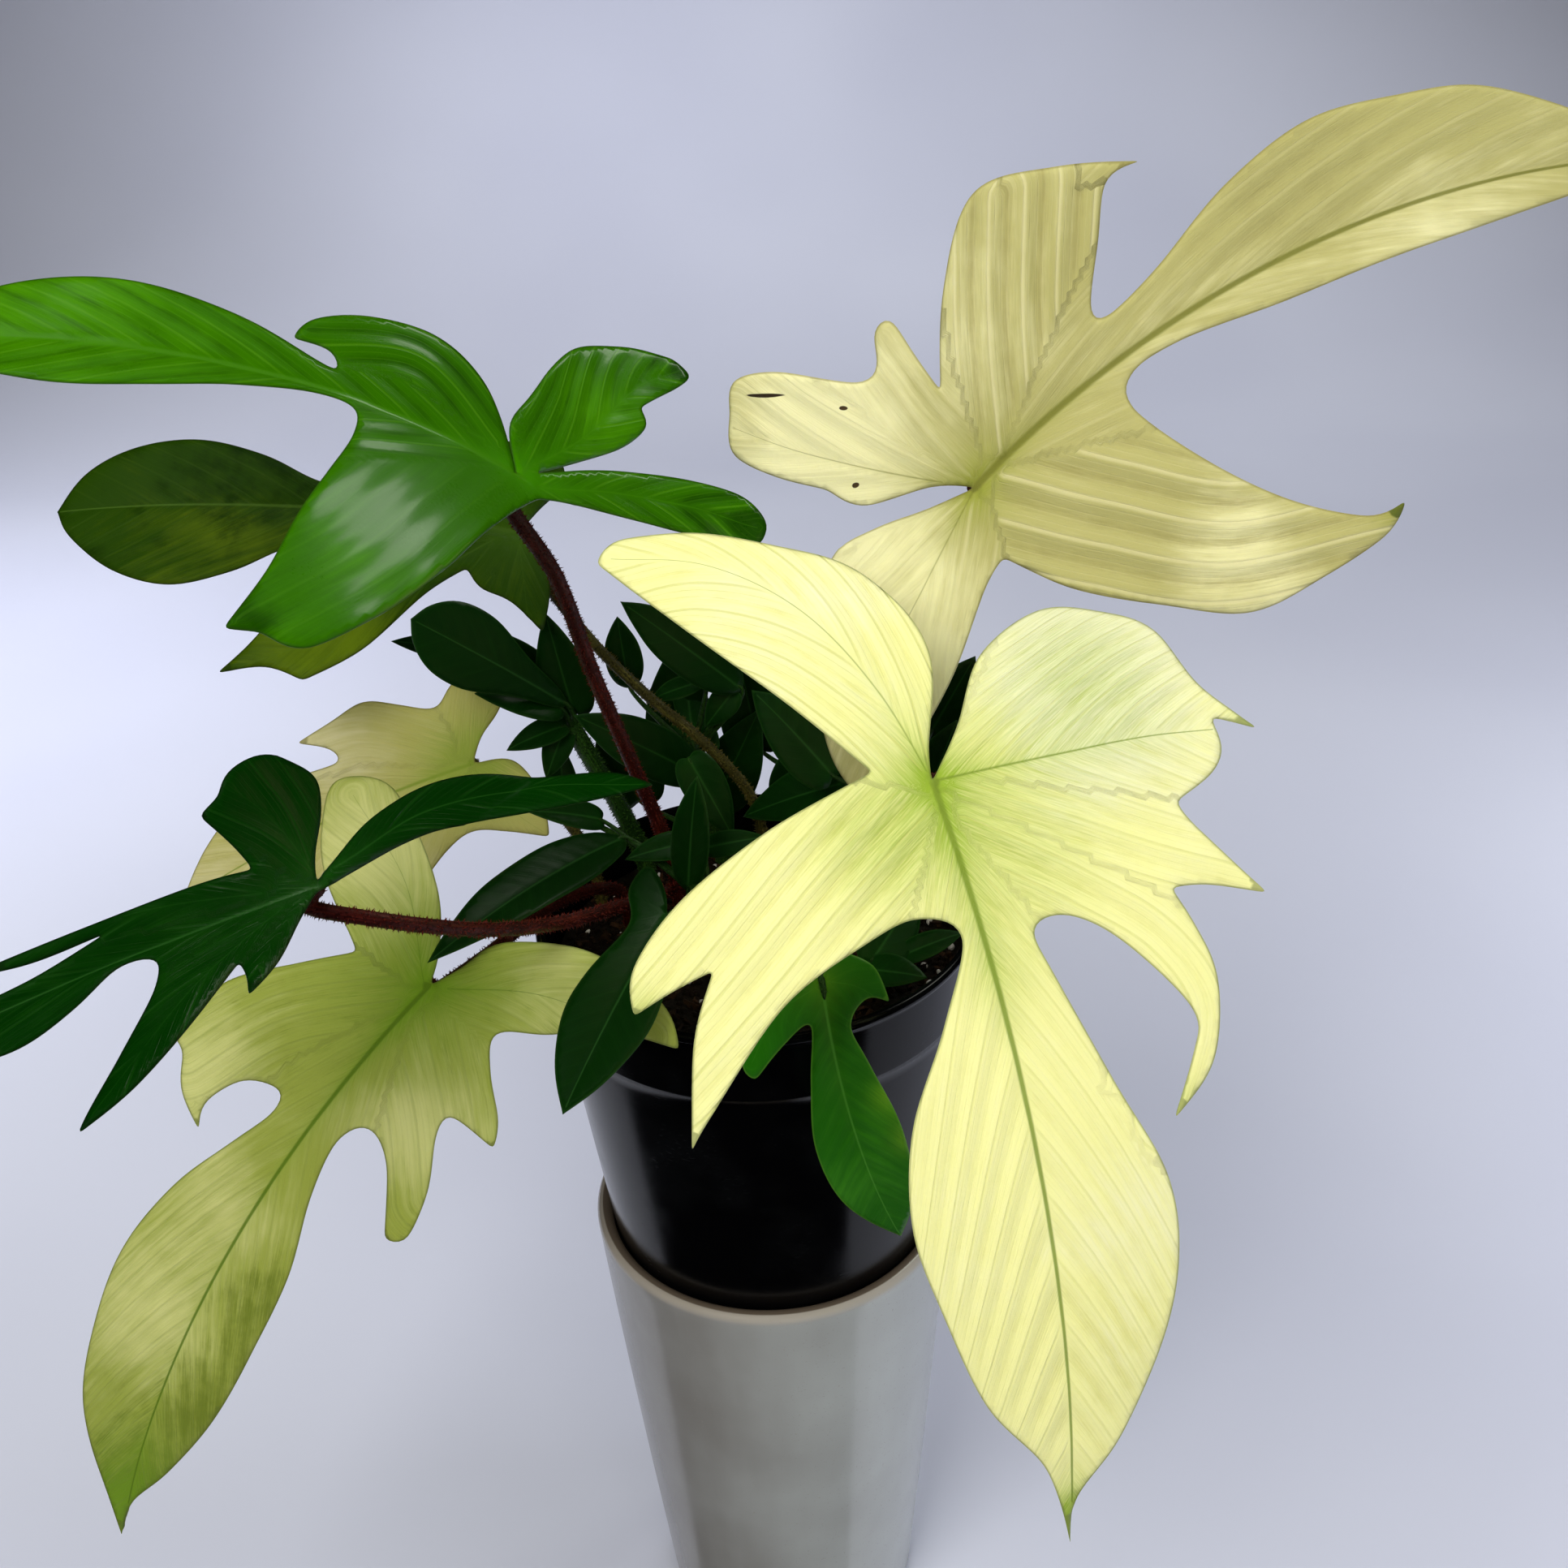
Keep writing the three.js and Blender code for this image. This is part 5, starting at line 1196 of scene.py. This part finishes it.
def pottingMix():                  # a low uneven mound with crumbs on it
    top, bottom = pots["soil"], pots["base"] + pots["floor"] + pots["gap"]
    clear = pots["wall"] + 2 * pots["gap"]
    shoulder = top - soilForm["shoulder"]
    radius = nurseryOuter(shoulder) - clear
    rings = np.linspace(radius, 0, round(radius / soilForm["step"]))
    soil = Shape()
    turned(soil, [(0, bottom), (nurseryOuter(bottom) - clear, bottom), (radius, shoulder)]
           + [(r, top) for r in rings[:-1]] + [(0, top)], soilForm["sides"])
    points = soil.vertices[0]
    onTop = points[:, 2] > top - 1
    x, y = points[onTop, 0], points[onTop, 1]
    middle = 1 - np.hypot(x, y) / pots["bodyRadius"]
    lumps = np.sin(x * 0.31 + 1) * np.cos(y * 0.27) + 0.6 * np.sin(x * 0.13 - y * 0.19)
    small = 0.35 * np.sin(x * 1.3 + 2 * np.sin(y * 0.7)) * np.cos(y * 1.1 + x * 0.4)
    uneven = (soilForm["lumps"] * lumps + small) * np.minimum(1, 3 * middle)
    points[onTop, 2] = top + uneven + soilForm["rise"] * middle
    soil.fields["fade"][0][onTop] = np.hypot(x, y) < radius - soilForm["bareEdge"]
    made = soil.piece("potting_mix", [earthPaint("soil", "#0c0906", "#1d150f", 0.95)])
    for number, (name, form, sizes, lowest, density, size, tones) in enumerate(crumbs):
        paint = earthPaint(name, *tones)
        tree = scatterTree("crumbs_" + name, form, {}, sizes, paint, soilForm["crumbTilt"], lowest)
        grow(made, tree, {"Density": density / mm ** 2, "Size": size * mm, "Seed": soilForm["seed"] + number})
    handOver(made, "potting_soil")


coverPot()
nurseryPot()
pottingMix()
print("stage: pots and soil done")


# Floor, light and camera, in metres
stage = {"half": 1.5, "front": -1.1, "wallStart": 1.35, "wallRound": 0.9, "wallHeight": 2.6,
         "split": [(-1.5, -0.03), (0.0, -0.03), (0.55, -0.42), (1.5, -0.42)]}


def backdropPaint():
    material, nodes = newPaint("pale_backdrop")
    place = nodes.place()
    colour = nodes.mix(rgb("#c8cbd9"), rgb("#d3d6e2"), nodes.step(nodes.noise(place, 1.6, 2.0), 0.3, 0.7))
    surface(nodes, colour, 0.75, nodes.noise(place, 2.5, 2.0), 2 * mm)
    return material


def backdropPart(name, near, far, seenInGloss):     # a strip of the floor or wall between two lines
    mesh = bpy.data.meshes.new(name)
    count = len(near)
    mesh.from_pydata(near + far, [], [(i, i + 1, count + i + 1, count + i) for i in range(count - 1)])
    mesh.polygons.foreach_set("use_smooth", [True] * len(mesh.polygons))
    mesh.materials.append(backdropCloth)
    part = bpy.data.objects.new(name, mesh)
    part.visible_glossy = seenInGloss
    scene.collection.objects.link(part)


backdropCloth = backdropPaint()
split = [(x, y, 0) for x, y in stage["split"]]
backdropPart("floor_front", [(x, stage["front"], 0) for x, _, _ in split], split, False)
backdropPart("floor_back", split, [(x, stage["wallStart"], 0) for x, _, _ in split], True)
wallEnd = stage["wallStart"] + stage["wallRound"]
wallLine = [(stage["wallStart"] + stage["wallRound"] * math.sin(a), stage["wallRound"] * (1 - math.cos(a)))
            for a in np.linspace(0, math.pi / 2, 24)] + [(wallEnd, stage["wallHeight"])]
wallRight, wallLeft = ([(x, y, z) for y, z in wallLine] for x in (stage["half"], -stage["half"]))
backdropPart("backdrop", wallRight, wallLeft, False)

# each light: name, place, aim, width, height, watts, colour, seen in gloss
lights = [
    ("key_softbox", (-0.55, -0.95, 1.45), (0.0, 0.0, 0.35), 0.8, 0.8, 18.5, "#fffdf8", False),
    ("front_fill", (0.35, -1.4, 0.75), (0.0, 0.0, 0.3), 0.9, 0.7, 5.5, "#fffefb", False),
    ("top_softbox", (0.1, 0.15, 1.75), (0.0, 0.0, 0.3), 1.0, 0.8, 6.0, "#fcfcff", False),
    ("left_softbox", (-1.35, -0.1, 0.7), (0.0, 0.0, 0.25), 0.5, 0.9, 1.5, "#eef2ff", False),
    ("right_softbox", (1.25, -0.15, 0.6), (0.0, 0.0, 0.25), 0.6, 0.9, 4.0, "#f2f4ff", False),
    ("back_softbox", (0.5, 1.9, 1.25), (0.0, 0.0, 0.2), 1.1, 0.8, 14.0, "#f6f8ff", False),
    ("window_gloss", (0.62, 0.56, 1.32), (-0.11, 0.01, 0.4), 0.28, 0.3, 1.35, "#fbfff0", True),
    ("top_gloss", (-0.15, -0.35, 1.9), (-0.15, 0.0, 0.4), 0.3, 0.5, 0.3, "#ffffff", True),
    ("floor_glow", (-0.8, 0.85, 0.9), (-0.8, 0.85, 0.0), 0.6, 0.6, 3.0, "#f0f2ff", False),
    ("right_glow", (0.95, 0.3, 0.8), (0.95, 0.25, 0.0), 0.5, 0.5, 1.9, "#f0f2ff", False),
    ("back_glow", (-0.3, 1.35, 0.9), (-0.3, 2.0, 0.33), 0.4, 0.4, 0.9, "#f0f2ff", False),
]
for name, place, aim, width, height, watts, colour, seen in lights:
    light = bpy.data.lights.new(name, "AREA")
    light.shape = "RECTANGLE"
    light.size, light.size_y = width, height
    light.energy = watts
    light.spread = math.radians(95 if name.endswith("glow") else 180)
    light.color = rgb(colour)[:3]
    lamp = bpy.data.objects.new(name, light)
    turn = (Vector(place) - Vector(aim)).to_track_quat("Z", "Y").to_matrix().to_4x4()
    lamp.matrix_world = Matrix.Translation(place) @ turn
    lamp.visible_camera = False
    lamp.visible_glossy = seen
    scene.collection.objects.link(lamp)
world = bpy.data.worlds.new("pale_room")
world.use_nodes = True
sky = world.node_tree.nodes["Background"].inputs
sky["Color"].default_value = rgb("#d4d6e6")
sky["Strength"].default_value = 0.75
world.cycles_visibility.diffuse = False     # the room is only seen: light and gloss come from the softboxes
world.cycles_visibility.glossy = False
scene.world = world
scene.view_settings.view_transform = "Standard"

# the photograph's camera: place in mm, turn in degrees, focal length and width in pixels
view = {"place": (10, -450, 604), "down": 29.4, "roll": -2.55, "focal": 2100, "frame": 1932}
camera = bpy.data.cameras.new("photo_camera")
camera.sensor_width = 36
camera.lens = camera.sensor_width * view["focal"] / view["frame"]
camera.clip_start = 0.01
down, roll = math.radians(view["down"]), math.radians(view["roll"])
ahead = Vector((0, math.cos(down), -math.sin(down)))
right, up = Vector((1, 0, 0)), Vector((0, math.sin(down), math.cos(down)))
right, up = right * math.cos(roll) + up * math.sin(roll), up * math.cos(roll) - right * math.sin(roll)
aimed = Matrix((right, up, -ahead)).transposed().to_4x4()
eye = bpy.data.objects.new("photo_camera", camera)
eye.matrix_world = Matrix.Translation(Vector(view["place"]) * mm) @ aimed
scene.collection.objects.link(eye)
scene.camera = eye
print("stage: light and camera done")

bpy.context.view_layer.update()
